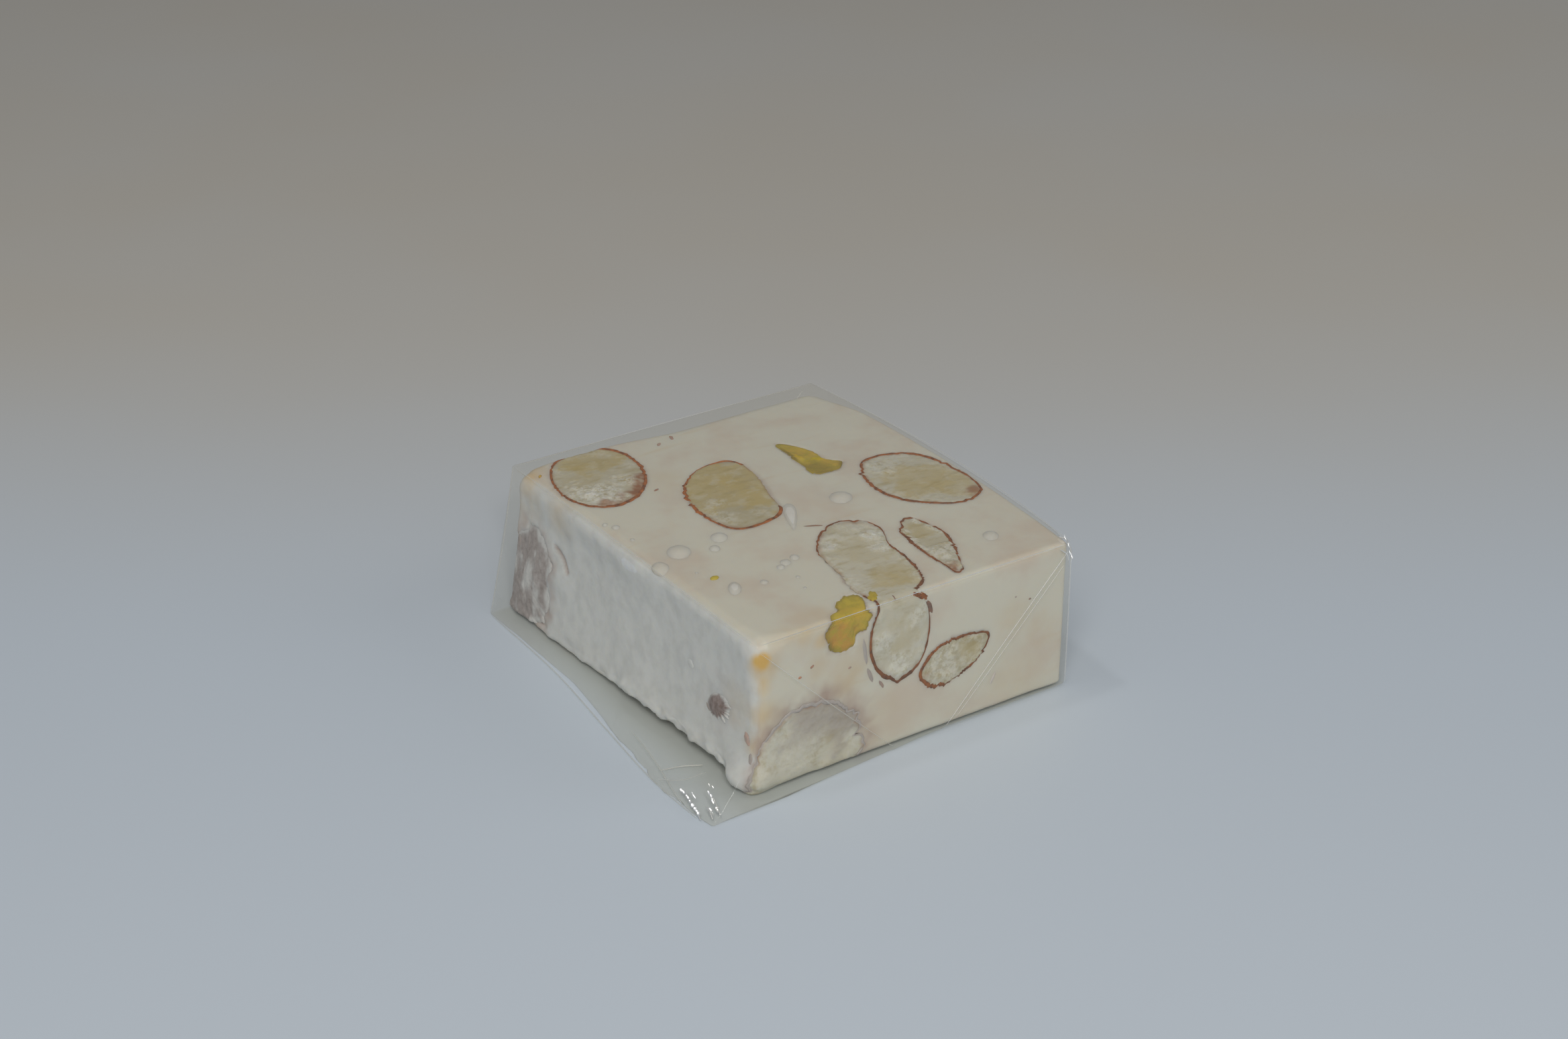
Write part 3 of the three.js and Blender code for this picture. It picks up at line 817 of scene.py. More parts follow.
def oval_reach(oval, angle):
    """Distance from an oval's middle to its edge in each direction."""
    _, _, oval_length, width, turn = oval
    bearing = angle - np.radians(turn)
    return 1 / np.hypot(2 * np.cos(bearing) / oval_length, 2 * np.sin(bearing) / width)


def corner_reach(corners, middle, angle):
    """The same for a closed curve through these corners."""
    per_corner = 60
    loop = np.array([corners[-1], *corners, *corners[:2]]) - middle
    curve = spline(loop, per_corner * len(loop))[per_corner:-per_corner]
    bearing = np.unwrap(np.arctan2(curve[:, 1], curve[:, 0]))
    if bearing[-1] < bearing[0]:
        bearing, curve = bearing[::-1], curve[::-1]
    turn = (angle - bearing[0]) % FULL_TURN + bearing[0]
    return np.interp(turn, np.maximum.accumulate(bearing), np.linalg.norm(curve, axis=1))


def nut_reach(nut, angle):
    """Distance from a nut's middle to its outline in each direction: the plain shape's, with a
    slow wander and teeth that are sharp in some stretches and calm in others."""
    if "corners" in nut:
        reach = corner_reach(nut["corners"], nut_middle(nut), angle)
    else:
        reach = oval_reach(nut["oval"], angle)
    teeth = ring_noise(angle, nut.get("teeth", 60), nut["seed"] + 2, 9)
    wander = ring_noise(angle, 12, nut["seed"])
    calm = np.clip(0.6 + 0.6 * ring_noise(angle, 5, nut["seed"] + 8), 0.1, 1.1)
    jagged = teeth * np.abs(teeth) ** 0.5 * calm
    return reach + nut.get("ragged", 0.8) * (0.06 * jagged + 0.09 * wander) * smooth(0, 4, reach)


def even_bearings(nut, count):
    """Bearings that part a nut's outline into stretches of equal length."""
    angle = np.linspace(0, FULL_TURN, 1501)
    reach = nut_reach(dict(nut, ragged=0), angle)
    line = np.stack([reach * np.cos(angle), reach * np.sin(angle)], -1)
    travelled = np.append(0, np.cumsum(np.linalg.norm(np.diff(line, axis=0), axis=1)))
    return np.interp(np.arange(count) / count * travelled[-1], travelled, angle)


def flat_places(a, b):
    return np.stack([a, b, np.zeros_like(a)], -1)


def patches(nut, key, a, b, core=0.45):
    """Strength of a nut's patches at each place: ragged blots, full over this share of their
    reach; the strongest wins."""
    total = np.zeros_like(a)
    fray = 1 + 0.4 * rough(flat_places(a, b), 1.6, nut["seed"] + 50)
    for at_a, at_b, reach, strength in nut.get(key, []):
        distance = np.hypot(a - at_a, b - at_b) * fray
        total = np.maximum(total, strength * smooth(reach, core * reach, distance))
    return total


def spot(a, b, place, core):
    """1 round a place (a, b, reach), easing to 0 at its reach."""
    at_a, at_b, reach = place
    return smooth(reach, core * reach, np.hypot(a - at_a, b - at_b))


def sugar(nut, a, b, out):
    """How thick white sugar lies on a cut face: its patches, and a broken band by the skin."""
    band = smooth(0.55, 0.85, out)
    band *= smooth(-0.25, 0.35, rough(flat_places(a, b), 2.0, nut["seed"] + 30, 3))
    return np.clip(np.maximum(patches(nut, "crystals", a, b), nut.get("frost", 0) * band), 0, 1)


def surface_normal(face):
    axis, sign = FACES[face][:2]
    return np.eye(3)[axis] * sign


def winds_outwards(face):
    """True where turning from the face's first axis to its second goes round its outward side."""
    axis, sign, first, second = FACES[face]
    return np.cross(np.eye(3)[first], np.eye(3)[second])[axis] * sign > 0


def cut_nut(nut, rings, spokes):
    """A nut trimmed to the block. Its face is rings of points from the middle to the outline,
    laid on the block's surface; below it a half ellipsoid bowl closes it. Also gives the face
    coordinates of the face's points, and how far out each lies, from 0 at the middle to 1."""
    middle = nut_middle(nut)
    angle = even_bearings(nut, spokes)
    reach = nut_reach(nut, angle)
    share = np.sin(np.linspace(0, 1, rings + 1)[1:] * np.pi / 2)
    a = np.append(middle[0] + share[:, None] * reach * np.cos(angle), middle[0])
    b = np.append(middle[1] + share[:, None] * reach * np.sin(angle), middle[1])
    out = np.append(np.repeat(share, spokes), 0)
    flat = on_face(nut["face"], a, b)
    crust = np.clip(0.35 + rough(flat, 0.8, nut["seed"] + 5, 3), -0.1, 1)
    lift = (0.03 - 0.06 * smooth(0.94, 1.0, out) + 0.05 * rough(flat, 2.2, nut["seed"], 3)
            + 0.17 * sugar(nut, a, b, out) * crust - nut.get("sink", 0.0))
    face, _ = block_surface(flat, lift)

    rim, top = face[-1 - spokes:-1], face[-1]
    bottom = top + reach.min() * (0.32 * unit(BLOCK_MIDDLE - top)
                                  - 0.5 * surface_normal(nut["face"]))
    bowl_share = np.cos(np.linspace(0, 1, 9)[1:-1] * np.pi / 2)[:, None, None]
    bowl = top + bowl_share * (rim - top) + np.sqrt(1 - bowl_share ** 2) * (bottom - top)
    points = np.concatenate([face, bowl.reshape(-1, 3), [bottom]])

    # closed_rings() takes the poles last, but the face's middle is stored before the bowl.
    middle_at = len(face) - 1
    order = np.concatenate([np.arange(middle_at), np.arange(middle_at + 1, len(points)),
                            [middle_at]])
    faces = [order[part] for part in closed_rings(rings + len(bowl), spokes)]
    if winds_outwards(nut["face"]):
        faces = flipped(faces)
    return points, faces, a, b, out


def over_bowl(values, total):
    """Values of a nut's face as attributes of all its points: 0 to 1, and 0 on the bowl."""
    return {key: np.append(np.clip(value, 0, 1), np.zeros(total - len(value)))
            for key, value in values.items()}


def flesh_values(nut, p, a, b, out):
    """How pale, yellow, sugared, bruised and rusty an almond's cut face is at each point."""
    scraps = patches(nut, "rust", a, b) * smooth(0.6, 0.88, out)
    scraps *= np.clip(0.95 + 1.1 * rough(p, 1.0, nut["seed"] + 60, 3), 0, 1)
    rubbed = smooth(0.9, 1.0, out)
    rubbed *= np.clip(0.3 + 0.5 * rough(p, 1.5, nut["seed"] + 40, 3), 0, 1)
    return {
        "pale": np.full_like(a, nut["pale"]),
        "heart": patches(nut, "heart", a, b, core=0.7) * (0.85 + 0.3 * rough(p, 2.0, 31, 3)),
        "crystal": sugar(nut, a, b, out),
        "bruise": patches(nut, "bruise", a, b, core=0.2),
        "rust": np.maximum(scraps, rubbed),
    }


def make_almonds():
    material = flesh_material()
    for node, nut in ALMONDS.items():
        points, faces, a, b, out = cut_nut(nut, 40, settings("nut_settings").spokes)
        values = flesh_values(nut, points[:len(a)], a, b, out)
        piece = make_mesh(node + "_flesh", points, faces, material,
                          over_bowl(values, len(points)))
        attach(piece, "root")
        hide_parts(node)


def make_skin_patches():
    """Uncut almonds: the face swells by a parabola and is wrinkled, most in its middle."""
    material = skin_material()
    for node, nut in SKIN_PATCHES.items():
        points, faces, a, b, out = cut_nut(nut, 36, settings("nut_settings").spokes)
        face = points[:len(a)]
        wrinkle = rough(face * [1, 2.2, 0.8], 1.6, nut["seed"])
        swell = nut["bulge"] * (1 - out ** 2) + 0.14 * wrinkle * (1 - out)
        face += surface_normal("left") * swell[:, None]
        smears = rough(face * [1, 1.3, 0.8], 2.4, nut["seed"] + 9, 5)
        veil = np.maximum(smooth(-0.75, 0.75, smears + nut["veil"]),
                          smooth(0.6, 1.0, out + 0.2 * smears))
        values = {"dark": np.full_like(a, 0.9), "kernel": np.full_like(a, 0.85),
                  "veil": np.clip(veil, *nut["smear"])}
        piece = make_mesh(node + "_kernel", points, faces, material,
                          over_bowl(values, len(points)))
        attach(piece, "root")
        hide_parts(node)


def skin_ring(nut):
    """The cut edge of an almond's skin: a six-sided section carried round the outline, wide
    and proud in places, thin or torn off in others."""
    spokes = 420
    angle = even_bearings(nut, spokes)
    reach = nut_reach(nut, angle)
    torn_off = smooth(0.7, 1.3, ring_noise(angle, 22, nut["seed"] + 4))
    if "bare" in nut:
        low, high = np.radians(nut["bare"])
        past = (angle - low) % FULL_TURN
        bare = smooth(0, 0.12, past) * smooth(high - low, high - low - 0.12, past)
        torn_off = np.maximum(torn_off, bare)
    width = in_mm("nut_settings", "skin_width") * (1 - 0.9 * torn_off)
    width *= np.clip(0.75 + 0.55 * ring_noise(angle, 36, nut["seed"] + 3), 0.18, 2.4)
    proud = 0.05 + 0.03 * ring_noise(angle, 30, nut["seed"] + 6) - 0.3 * torn_off

    # The section's corners: how many half widths out, and how deep below the face; the two
    # proud ones have no depth.
    section = [(-1.0, 0.0024), (-0.45, None), (0.45, None), (1.0, 0.0024), (0.5, 0.3), (-0.5, 0.3)]
    middle = nut_middle(nut)
    rows = []
    for across, depth in section:
        distance = reach + across * width
        flat = on_face(nut["face"], middle[0] + distance * np.cos(angle),
                       middle[1] + distance * np.sin(angle))
        rows.append(block_surface(flat, proud if depth is None else -depth - 0.3 * torn_off)[0])
    points = np.stack(rows, 1).reshape(-1, 3)
    faces = [ring_quads(spokes, len(section), closed=True)]
    if not winds_outwards(nut["face"]):
        faces = flipped(faces)
    dark = np.clip(nut["dark"] + 0.25 * ring_noise(angle, 10, nut["seed"] + 7), 0, 1)
    faint = nut.get("faint", 0.0)
    return points, faces, {"dark": np.repeat(dark, len(section)), "kernel": faint, "veil": faint}


def make_skins():
    parts = [skin_ring(nut) for nut in ALMONDS.values()]
    piece = join_mesh("almond_skins", parts, skin_material())
    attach(piece, "root")


def make_pistachios():
    """Pistachio pieces: the face is lumpy, calmer towards its rim."""
    material = pistachio_material()
    for node, nut in PISTACHIOS.items():
        points, faces, a, b, out = cut_nut(nut, 18, 110)
        face = points[:len(a)]
        gold = nut["gold"] + 0.4 * rough(face, 2.4, nut["seed"], 3)
        if "golden" in nut:
            gold += spot(a, b, nut["golden"], 0.4)
        rim = smooth(0.8, 1.0, out) * (0.6 + 0.4 * rough(face, 1.2, nut["seed"] + 1, 2))
        if "shade" in nut:
            rim = np.maximum(rim, 0.6 * spot(a, b, nut["shade"], 0.3))
        lumps = 0.3 * rough(face, 1.7, nut["seed"] + 2, 3) * (1 - out ** 3)
        face += surface_normal(nut["face"]) * (lumps + 0.05)[:, None]
        piece = make_mesh(node + "_piece", points, faces, material,
                          over_bowl({"gold": gold, "rim": rim}, len(points)))
        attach(piece, "root")
        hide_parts(node)


# ------------------------------------------------------------------ nougat


def round_nuts(p):
    """For each block point: how deep it lies in a nut's hollow, from 0 outside the outline to 1
    well inside, and how strongly a nut's skin shades it."""
    deepest_nut, widest_nut = 13, 16
    hollow, halo = np.zeros(len(p)), np.zeros(len(p))
    for nut in [*ALMONDS.values(), *PISTACHIOS.values(), *SKIN_PATCHES.values()]:
        a, b, depth = off_face(nut["face"], p)
        middle = nut_middle(nut)
        across = np.hypot(a - middle[0], b - middle[1])
        near = (depth < deepest_nut) & (across < widest_nut)
        bearing = np.arctan2(b[near] - middle[1], a[near] - middle[0])
        inside = nut_reach(nut, bearing) - across[near]
        if "cover" in nut:
            inside -= nut["cover"] + 0.9 * rough(p[near], 2.2, nut["seed"] + 21, 3)
            inside *= 0.3
        share = nut.get("pocket", 1.0) * smooth(0.0, 0.35, inside)
        hollow[near] = np.maximum(hollow[near], share)
        shade = nut.get("halo", 0.5) * smooth(-nut.get("halo_reach", 0.7), 0.0, inside)
        if "halo_reach" in nut:
            shade *= smooth(1.5, 0.2, depth[near])
        halo[near] = np.maximum(halo[near], shade)
    return hollow, np.clip(halo * (0.7 + 0.6 * rough(p, 1.4, 43, 3)), 0, 1)


# Marks on the nougat, as (place, reach, strength): yellow-orange smears, and faint warm stains
# round the nuts and drawn out over the front end. The last two, broad and low on the front end,
# are painted shade that darkens its lower part.
AMBER = [
    ((-19.2, -24.2, 15.3), 1.5, 1.6), ((-19.2, -24.2, 12.4), 1.7, 0.45),
    ((-11.9, -24.2, 15.6), 1.3, 0.4), ((-13.8, -24.2, 16.8), 1.6, 0.25),
    ((-19.5, 21.6, 16.9), 2.0, 0.35), ((-17.6, 23.2, 17.4), 1.5, 0.3),
    ((-19.3, -24.2, 9.6), 2.0, 0.2), ((-16.0, -24.0, 17.4), 2.6, 0.12),
]
STAINS_AND_LOW_SHADE = [
    ((-8.0, 12.0, 17.4), 4.5, 0.25), ((-9.0, -24.2, 10.5), 4.0, 0.55),
    ((-12.0, -24.2, 12.6), 2.6, 0.35), ((12.6, -24.2, 11.0), 3.4, 0.25),
    ((-6.6, -24.2, 12.4), 2.4, 0.4), ((-18.8, -24.2, 14.6), 2.4, 0.8),
    ((-18.4, -24.2, 8.6), 3.2, 0.5), ((-18.8, 22.6, 17.4), 2.6, 0.5),
    ((-12.0, -23.5, 17.4), 4.5, 0.35), ((16.5, -24.2, 8.0), 3.0, 0.3),
    ((-19.7, 21.5, 14.5), 4.5, 0.4), ((-19.7, -23.6, 6.0), 2.4, 0.6),
    ((-19.7, 14.0, 15.6), 4.0, 0.3), ((-19.7, -21.0, 9.0), 4.0, 0.3),
    ((13.0, -24.2, 3.0), 6.0, 0.22), ((-4.0, -24.2, 4.0), 5.0, 0.2),
]


def marks_on(p, marks, seed):
    """Strength of soft ragged marks at block points; the strongest wins."""
    total = np.zeros(len(p))
    for place, reach, strength in marks:
        distance = np.linalg.norm(p - place, axis=1)
        total = np.maximum(total, 1.2 * strength * smooth(reach, 0.2 * reach, distance))
    return np.clip(total * (0.8 + 0.5 * rough(p, 1.8, seed, 3)), 0, 1)


def make_nougat():
    step = in_mm("nougat_settings", "step")
    stations = [graded(low, high, step, edge=1.6, fine=0.16)
                for low, high in zip(BLOCK_LOW, BLOCK_HIGH)]
    sharp, quads = box_lattice(stations)
    hollow, halo = round_nuts(sharp)
    points, torn = block_surface(sharp, -in_mm("nougat_settings", "pocket") * hollow)
    # Painted shade: the torn side's crevice is darkened with the halo colour, over its carved
    # groove.
    crevice_shade = 0.8 * torn * near_path(sharp[:, 1], sharp[:, 2], CREVICE, 0.5)
    values = {"torn": torn, "stain": marks_on(sharp, STAINS_AND_LOW_SHADE, 41),
              "amber": marks_on(sharp, AMBER, 47), "halo": np.maximum(halo, crevice_shade)}
    piece = make_mesh("nougat_body", points, [quads], nougat_material(), values)
    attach(piece, "root")
    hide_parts("nougat_block")


# Blisters of syrup under the film, on the top: (x, y, width).
BLISTERS = [
    (-15.5, -3.3, 2.0), (-19.0, -5.0, 1.7), (-10.3, -3.0, 1.5), (-12.0, -4.8, 1.0),
    (-18.0, 5.3, 0.8), (-18.6, 6.6, 0.6), (-11.8, -13.8, 0.8), (-8.3, -14.8, 0.5),
    (5.3, -2.5, 1.9), (13.4, -18.5, 1.4), (-6.2, -11.1, 0.9), (-7.6, -11.5, 1.0),
    (-8.6, -12.1, 0.8), (-18.0, 1.9, 0.5), (-9.0, -17.1, 0.4), (-16.4, -8.2, 0.4),
]


# Two drops that were drawn out: (x, y, width, height, stretch, turn in degrees, taper).
DRAWN_DROPS = [(-1.4, -3.4, 1.5, 0.3, 4.8, 62, 0.55), (-15.0, -13.2, 1.6, 0.26, 2.0, 60, 0.0)]


def mound(face, middle, along, across, turn, lift, poles):
    """A low closed shape pressed into a face, from rings of points. along and across place
    each point on axes turned by this many degrees, lift is each ring's, and poles are the lifts
    of its top and its buried underside."""
    c, s = np.cos(np.radians(turn)), np.sin(np.radians(turn))
    a = (middle[0] + along * c - across * s).ravel()
    b = (middle[1] + along * s + across * c).ravel()
    rings, spokes = along.shape
    flat = on_face(face, np.append(a, [middle[0]] * 2), np.append(b, [middle[1]] * 2))
    points, _ = block_surface(flat, np.append(np.repeat(lift, spokes), poles))
    faces = closed_rings(rings, spokes)
    return points, faces if winds_outwards(face) else flipped(faces)


def drop(x, y, width, tall, stretch, turn, taper=0.0):
    """A low drop on the top face: a squared sine rise whose rim is buried in the nougat. taper
    narrows one end of it."""
    buried = 0.1
    up = np.linspace(0, np.pi / 2, 11)[:-1]
    angle = ring_angles(24)
    out = np.cos(up)[:, None] * width / 2
    points, faces = mound("top", (x, y), out * np.cos(angle) * stretch,
                          out * np.sin(angle) * (1 + taper * np.cos(angle)), turn,
                          np.sin(up) ** 2 * (tall + buried) - buried, (tall, -2 * buried))
    return points, faces, {"torn": 0.6, "stain": 0.0, "amber": 0.12, "halo": 0.0}


def make_blisters():
    parts = [drop(x, y, 1.45 * width, 0.17 * width, stretch=1.2, turn=60)
             for x, y, width in BLISTERS]
    parts += [drop(*drawn) for drawn in DRAWN_DROPS]
    piece = join_mesh("syrup_blisters", parts, nougat_material())
    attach(piece, "root")


# Crumbs: (face, a, b, length, width, turn in degrees, tone, veil). The tone is how dark a crumb
# of skin is, and how gold a green one is.
CRUMBS = [
    ("top", -0.6, -6.5, 2.4, 0.28, -30, 0.8, 0.1),
    ("top", -3.4, 20.3, 0.9, 0.5, 40, 0.15, 0.35), ("top", -1.3, 21.0, 1.2, 0.5, 70, 0.2, 0.3),
    ("front", -14.5, 12.2, 0.45, 0.35, 0, 0.0, 0.2), ("front", -13.0, 13.0, 0.5, 0.35, 30, 0.0, 0.2),
    ("front", -8.4, 11.4, 0.4, 0.3, 0, 0.1, 0.35), ("front", 14.8, 12.2, 0.35, 0.25, 0, 0.1, 0.2),
    ("front", 12.9, 13.0, 0.25, 0.2, 0, 0.1, 0.4), ("front", 10.2, 4.0, 1.6, 0.4, 60, 0.0, 0.75),
    ("front", -6.5, 12.6, 3.4, 0.5, 100, 0.9, 0.55), ("front", -5.8, 9.6, 2.2, 0.5, 112, 0.9, 0.45),
    ("front", -4.4, 8.2, 1.2, 0.4, 120, 0.7, 0.3), ("front", 0.3, 17.1, 2.9, 0.9, -38, 0.35, 0.0),
    ("front", 1.6, 15.3, 1.9, 0.6, -70, 0.7, 0.1), ("left", -12.1, 9.8, 1.3, 1.0, 0, 0.0, 1.0),
    ("left", 22.8, 8.4, 2.6, 1.0, 70, 0.9, 0.45), ("left", -15.6, 6.4, 1.2, 0.5, 40, 0.9, 0.4),
    ("left", -22.6, 6.0, 1.5, 1.0, 60, 0.0, 0.45), ("left", -23.4, 4.2, 1.3, 0.5, 80, 0.9, 0.45),
    ("left", -23.8, 2.4, 1.1, 0.35, 100, 0.8, 0.5), ("front", -18.6, 5.2, 1.8, 0.9, 70, 0.0, 0.4),
    ("top", -18.5, 20.8, 0.5, 0.4, 0, 0.0, 0.4), ("top", -9.8, 10.4, 0.9, 0.35, 20, 0.1, 0.2),
    ("top", 6.4, -21.9, 0.8, 0.3, 40, 0.5, 0.1), ("top", -2.6, -23.6, 1.6, 0.3, 84, 0.7, 0.2),
]
GREEN_CRUMBS = [
    ("top", -15.5, -10.2, 1.1, 0.8, 10, 0.0, 0.0), ("front", -4.3, 19.3, 2.0, 1.3, 70, 0.2, 0.0),
    ("top", -18.5, 20.8, 0.45, 0.4, 0, 0.8, 0.0),
]


def crumb(face, a, b, crumb_length, width, turn, seed, tall):
    """A flake pressed into the surface: a low, ragged half ellipsoid."""
    buried = 0.05
    up = np.linspace(0, np.pi / 2, 6)[:-1]
    angle = ring_angles(18)
    out = np.cos(up)[:, None] * (1 + 0.22 * ring_noise(angle, 7, seed)) / 2
    return mound(face, (a, b), out * np.cos(angle) * crumb_length, out * np.sin(angle) * width,
                 turn, np.sin(up) * (tall + buried) - buried, (tall, -3 * buried))


def crumb_parts(crumbs, seed, tall, tone_name, others):
    """Parts for join_mesh(): each crumb, its tone under this name and the others as given."""
    return [(*crumb(*shape, seed + number, tall), {tone_name: tone, "veil": veil, **others})
            for number, (*shape, tone, veil) in enumerate(crumbs)]


def make_crumbs():
    piece = join_mesh("skin_crumbs", crumb_parts(CRUMBS, 200, 0.07, "dark", {"kernel": 0.0}),
                      skin_material())
    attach(piece, "root")
    piece = join_mesh("pistachio_crumbs", crumb_parts(GREEN_CRUMBS, 300, 0.2, "gold", {"rim": 0.1}),
                      pistachio_material())
    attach(piece, "root")


# ------------------------------------------------------------------ film


def film_surface(p):
    """Sharp film box to the real wrap: folds are lightly rounded, the loose side slopes out to
    the floor, hugging the block more and flaring lower towards the front, and the front
    corner runs out into an ear."""
    rounding = 0.4
    half = np.array([*PACK_HALF, PACK_TOP / 2])
    middle = np.array([0, 0, PACK_TOP / 2])
    core = middle + np.clip(p - middle, rounding - half, half - rounding)
    normal = unit(p - core)
    fall = 1 - p[:, 2] / PACK_TOP
    on_base = p[:, 2] < 0.01
    crumple = 1 - np.abs(rough(p, 3.0, 51, 3))

    # The last flap of each folded end is a triangle that stands out; the right corner is dented.
    slope, reach = 0.97, 3.45
    inside_flap = reach + slope * p[:, 2] - np.abs(p[:, 0] - 0.15)
    flap = in_mm("film_settings", "flap") * smooth(0, 0.35, inside_flap) * np.abs(normal[:, 1])
    dent = 0.5 * crumple * bell(p, [20, -24.6, 17.65], 2.2)
    moved = core + normal * (rounding + 0.02 * rough(p, 9, 52, 2) - dent + flap)[:, None]

    # It follows the nougat's bow and crown, and rises over the larger blisters.
    right, high = sag(p[:, 0], p[:, 1])
    moved[:, 0] += right
    moved[:, 2] += high * (1 - fall)
    on_top = p[:, 2] > PACK_TOP - 0.01
    for x, y, width in BLISTERS:
        if width >= 0.9:
            moved[:, 2] += 0.09 * width * bell(p[:, :2], [x, y], 1.1 * width) * on_top

    # The loose side hangs out to the floor in pleats, and the base goes out with it.
    along = 0.5 - p[:, 1] / (2 * PACK_HALF[1])
    back, front = (in_mm("film_settings", name) for name in ("skirt_back", "skirt_front"))
    skirt = (back + (front - back) * smooth(9, -20, p[:, 1])) * fall ** (1.1 + 2.9 * along ** 3)
    loose = skirt * np.where(on_base, smooth(-9, -20, p[:, 0]), smooth(-17, -20, p[:, 0]))
    pleats = (crumple - 0.6) * smooth(2, -22, p[:, 1]) + 0.25 * rough(p, 6, 53, 2)
    raised = 0.5 * np.clip(loose / 5, 0, 1) * smooth(-4, -20, p[:, 1]) * (1 - on_base)
    moved[:, 0] -= loose * (1 - 0.12 * pleats)
    moved[:, 2] += raised * pleats

    # The front corner's ear, and the front foot's lift off the floor beside it.
    to_ear = 1 - np.clip((p[:, 0] + PACK_HALF[0]) / 22, 0, 1)
    on_end = np.where(on_base, smooth(-16, -24.6, p[:, 1]), smooth(-22.6, -24.6, p[:, 1]))
    moved[:, 1] -= in_mm("film_settings", "ear") * to_ear ** 1.5 * fall ** 3 * on_end
    at_foot = smooth(-18, -24.6, p[:, 1]) * smooth(6, 0, p[:, 2])
    moved[:, 2] += 0.3 * smooth(-6, 4, p[:, 0]) * at_foot
    moved[:, 2] = np.maximum(moved[:, 2], 0.0)
    return moved


def make_film_sheet():
    step = in_mm("film_settings", "step")
    ends = [(-PACK_HALF[0], PACK_HALF[0]), (-PACK_HALF[1], PACK_HALF[1]), (0.0, PACK_TOP)]
    sharp, quads = box_lattice([graded(low, high, step, edge=0.6, fine=0.12)
                                for low, high in ends])
    points = film_surface(sharp)
    # The base takes the doubled tint near the block's foot: partly its lap, partly painted shade
    # from the block.
    doubled = (sharp[:, 2] < 0.01) * smooth(-24.5, -21.5, points[:, 0])
    material = film_material("clear_film", mirror=0.045, haze=0.3, gloss_roughness=0.08)
    piece = make_mesh("film_sheet", points, [quads], material, {"doubled": doubled})
    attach(piece, "root")
    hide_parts("film_wrap")


# Folded edges of the film, and bright ones: a few points that a smooth curve joins, and the
# radius of the crease along it.
FOLDS = [
    ([(19.4, -24.78, 16.9), (11.6, -24.76, 8.9), (3.7, -24.74, 0.6)], 0.06),
    ([(18.9, -24.78, 15.4), (11.0, -24.76, 7.3), (5.0, -24.74, 1.2)], 0.035),
    ([(-19.6, -24.78, 16.9), (-11.4, -24.76, 8.6), (-3.1, -24.74, 0.5)], 0.05),
    ([(19.6, 24.78, 16.9), (11.2, 24.76, 8.7), (3.2, 24.74, 0.5)], 0.06),
    ([(-19.3, 24.78, 16.9), (-11.4, 24.76, 8.7), (-3.6, 24.74, 0.5)], 0.06),
    ([(19.9, -24.5, 17.0), (19.95, -24.55, 9), (19.95, -24.55, 0.6)], 0.06),
    ([(-23.8, 24.0, 0.12), (-24.2, 9.0, 0.12), (-25.6, -4, 0.12), (-26.8, -15.5, 0.12),
      (-26.9, -24.4, 0.15)], 0.07),
    ([(-24.3, -7.5, 0.9), (-25.2, -13.4, 0.8), (-26.3, -18.6, 0.5), (-26.9, -22, 0.2)], 0.05),
    ([(-25.3, -14.8, 0.25), (-23.2, -15.4, 0.3), (-21.1, -16.4, 0.25)], 0.08),
    ([(-26.5, -16.5, 0.5), (-25.2, -19.0, 1.3), (-23.6, -20.8, 2.6)], 0.04),
    ([(-19.7, 24.3, 17.6), (0, 24.5, 17.7), (20.6, 24.3, 17.6)], 0.05),
    ([(-19.8, 24.3, 17.6), (-19.85, 0, 17.8), (-19.8, -24.3, 17.55)], 0.04),
    ([(20.6, 24.3, 17.6), (21.75, 4, 17.65), (21.2, -12, 17.65), (19.9, -24.3, 17.5)], 0.05),
    ([(-19.9, 24.4, 17.4), (-21.5, 24.4, 9.0), (-23.7, 24.2, 0.4)], 0.05),
]
GLINTS = [
    ([(-19.6, -24.5, 17.55), (-6, -24.5, 17.66), (8, -24.5, 17.64), (19.4, -24.5, 17.5)], 0.035),
    ([(-25.9, -20.4, 1.1), (-26.3, -22.2, 0.9), (-26.6, -23.7, 0.6), (-26.9, -25.0, 0.35)], 0.08),
    ([(-24.6, -23.2, 1.7), (-24.75, -24.4, 1.25), (-24.95, -25.6, 0.5)], 0.08),
    ([(-25.6, -23.9, 0.9), (-25.7, -24.9, 0.7), (-25.9, -25.6, 0.4)], 0.08),
    ([(19.9, -24.0, 17.3), (20.05, -24.4, 16.2), (19.9, -24.6, 15.2)], 0.1),
    ([(18.4, -24.5, 17.1), (19.2, -24.7, 16.4), (19.4, -24.75, 15.6)], 0.06),
    ([(19.5, -22.8, 17.6), (19.9, -23.6, 17.5), (19.6, -24.3, 17.2)], 0.08),
]

# Crinkles that catch the light: the ends of a run of small facets, how many, and their width.
CRINKLES = [
    ((-26.15, -20.2, 1.25), (-26.75, -24.6, 0.7), 9, 0.34),
    ((-24.75, -23.0, 1.9), (-25.05, -25.5, 0.8), 6, 0.36),
    ((-25.7, -21.4, 1.3), (-25.9, -22.4, 1.2), 2, 0.16),
    ((-25.6, -24.6, 0.9), (-25.7, -25.4, 0.7), 2, 0.2),
    ((-24.0, -22.2, 2.1), (-24.1, -22.9, 2.0), 2, 0.14),
    ((19.6, -24.4, 17.3), (19.95, -24.6, 15.6), 3, 0.13),
    ((20.0, -23.0, 17.7), (19.8, -24.0, 17.6), 2, 0.12),
]

# The facets lean about this way, half way between the front glint light and the viewer.
CATCH = np.array([-0.40, -0.75, 0.53])


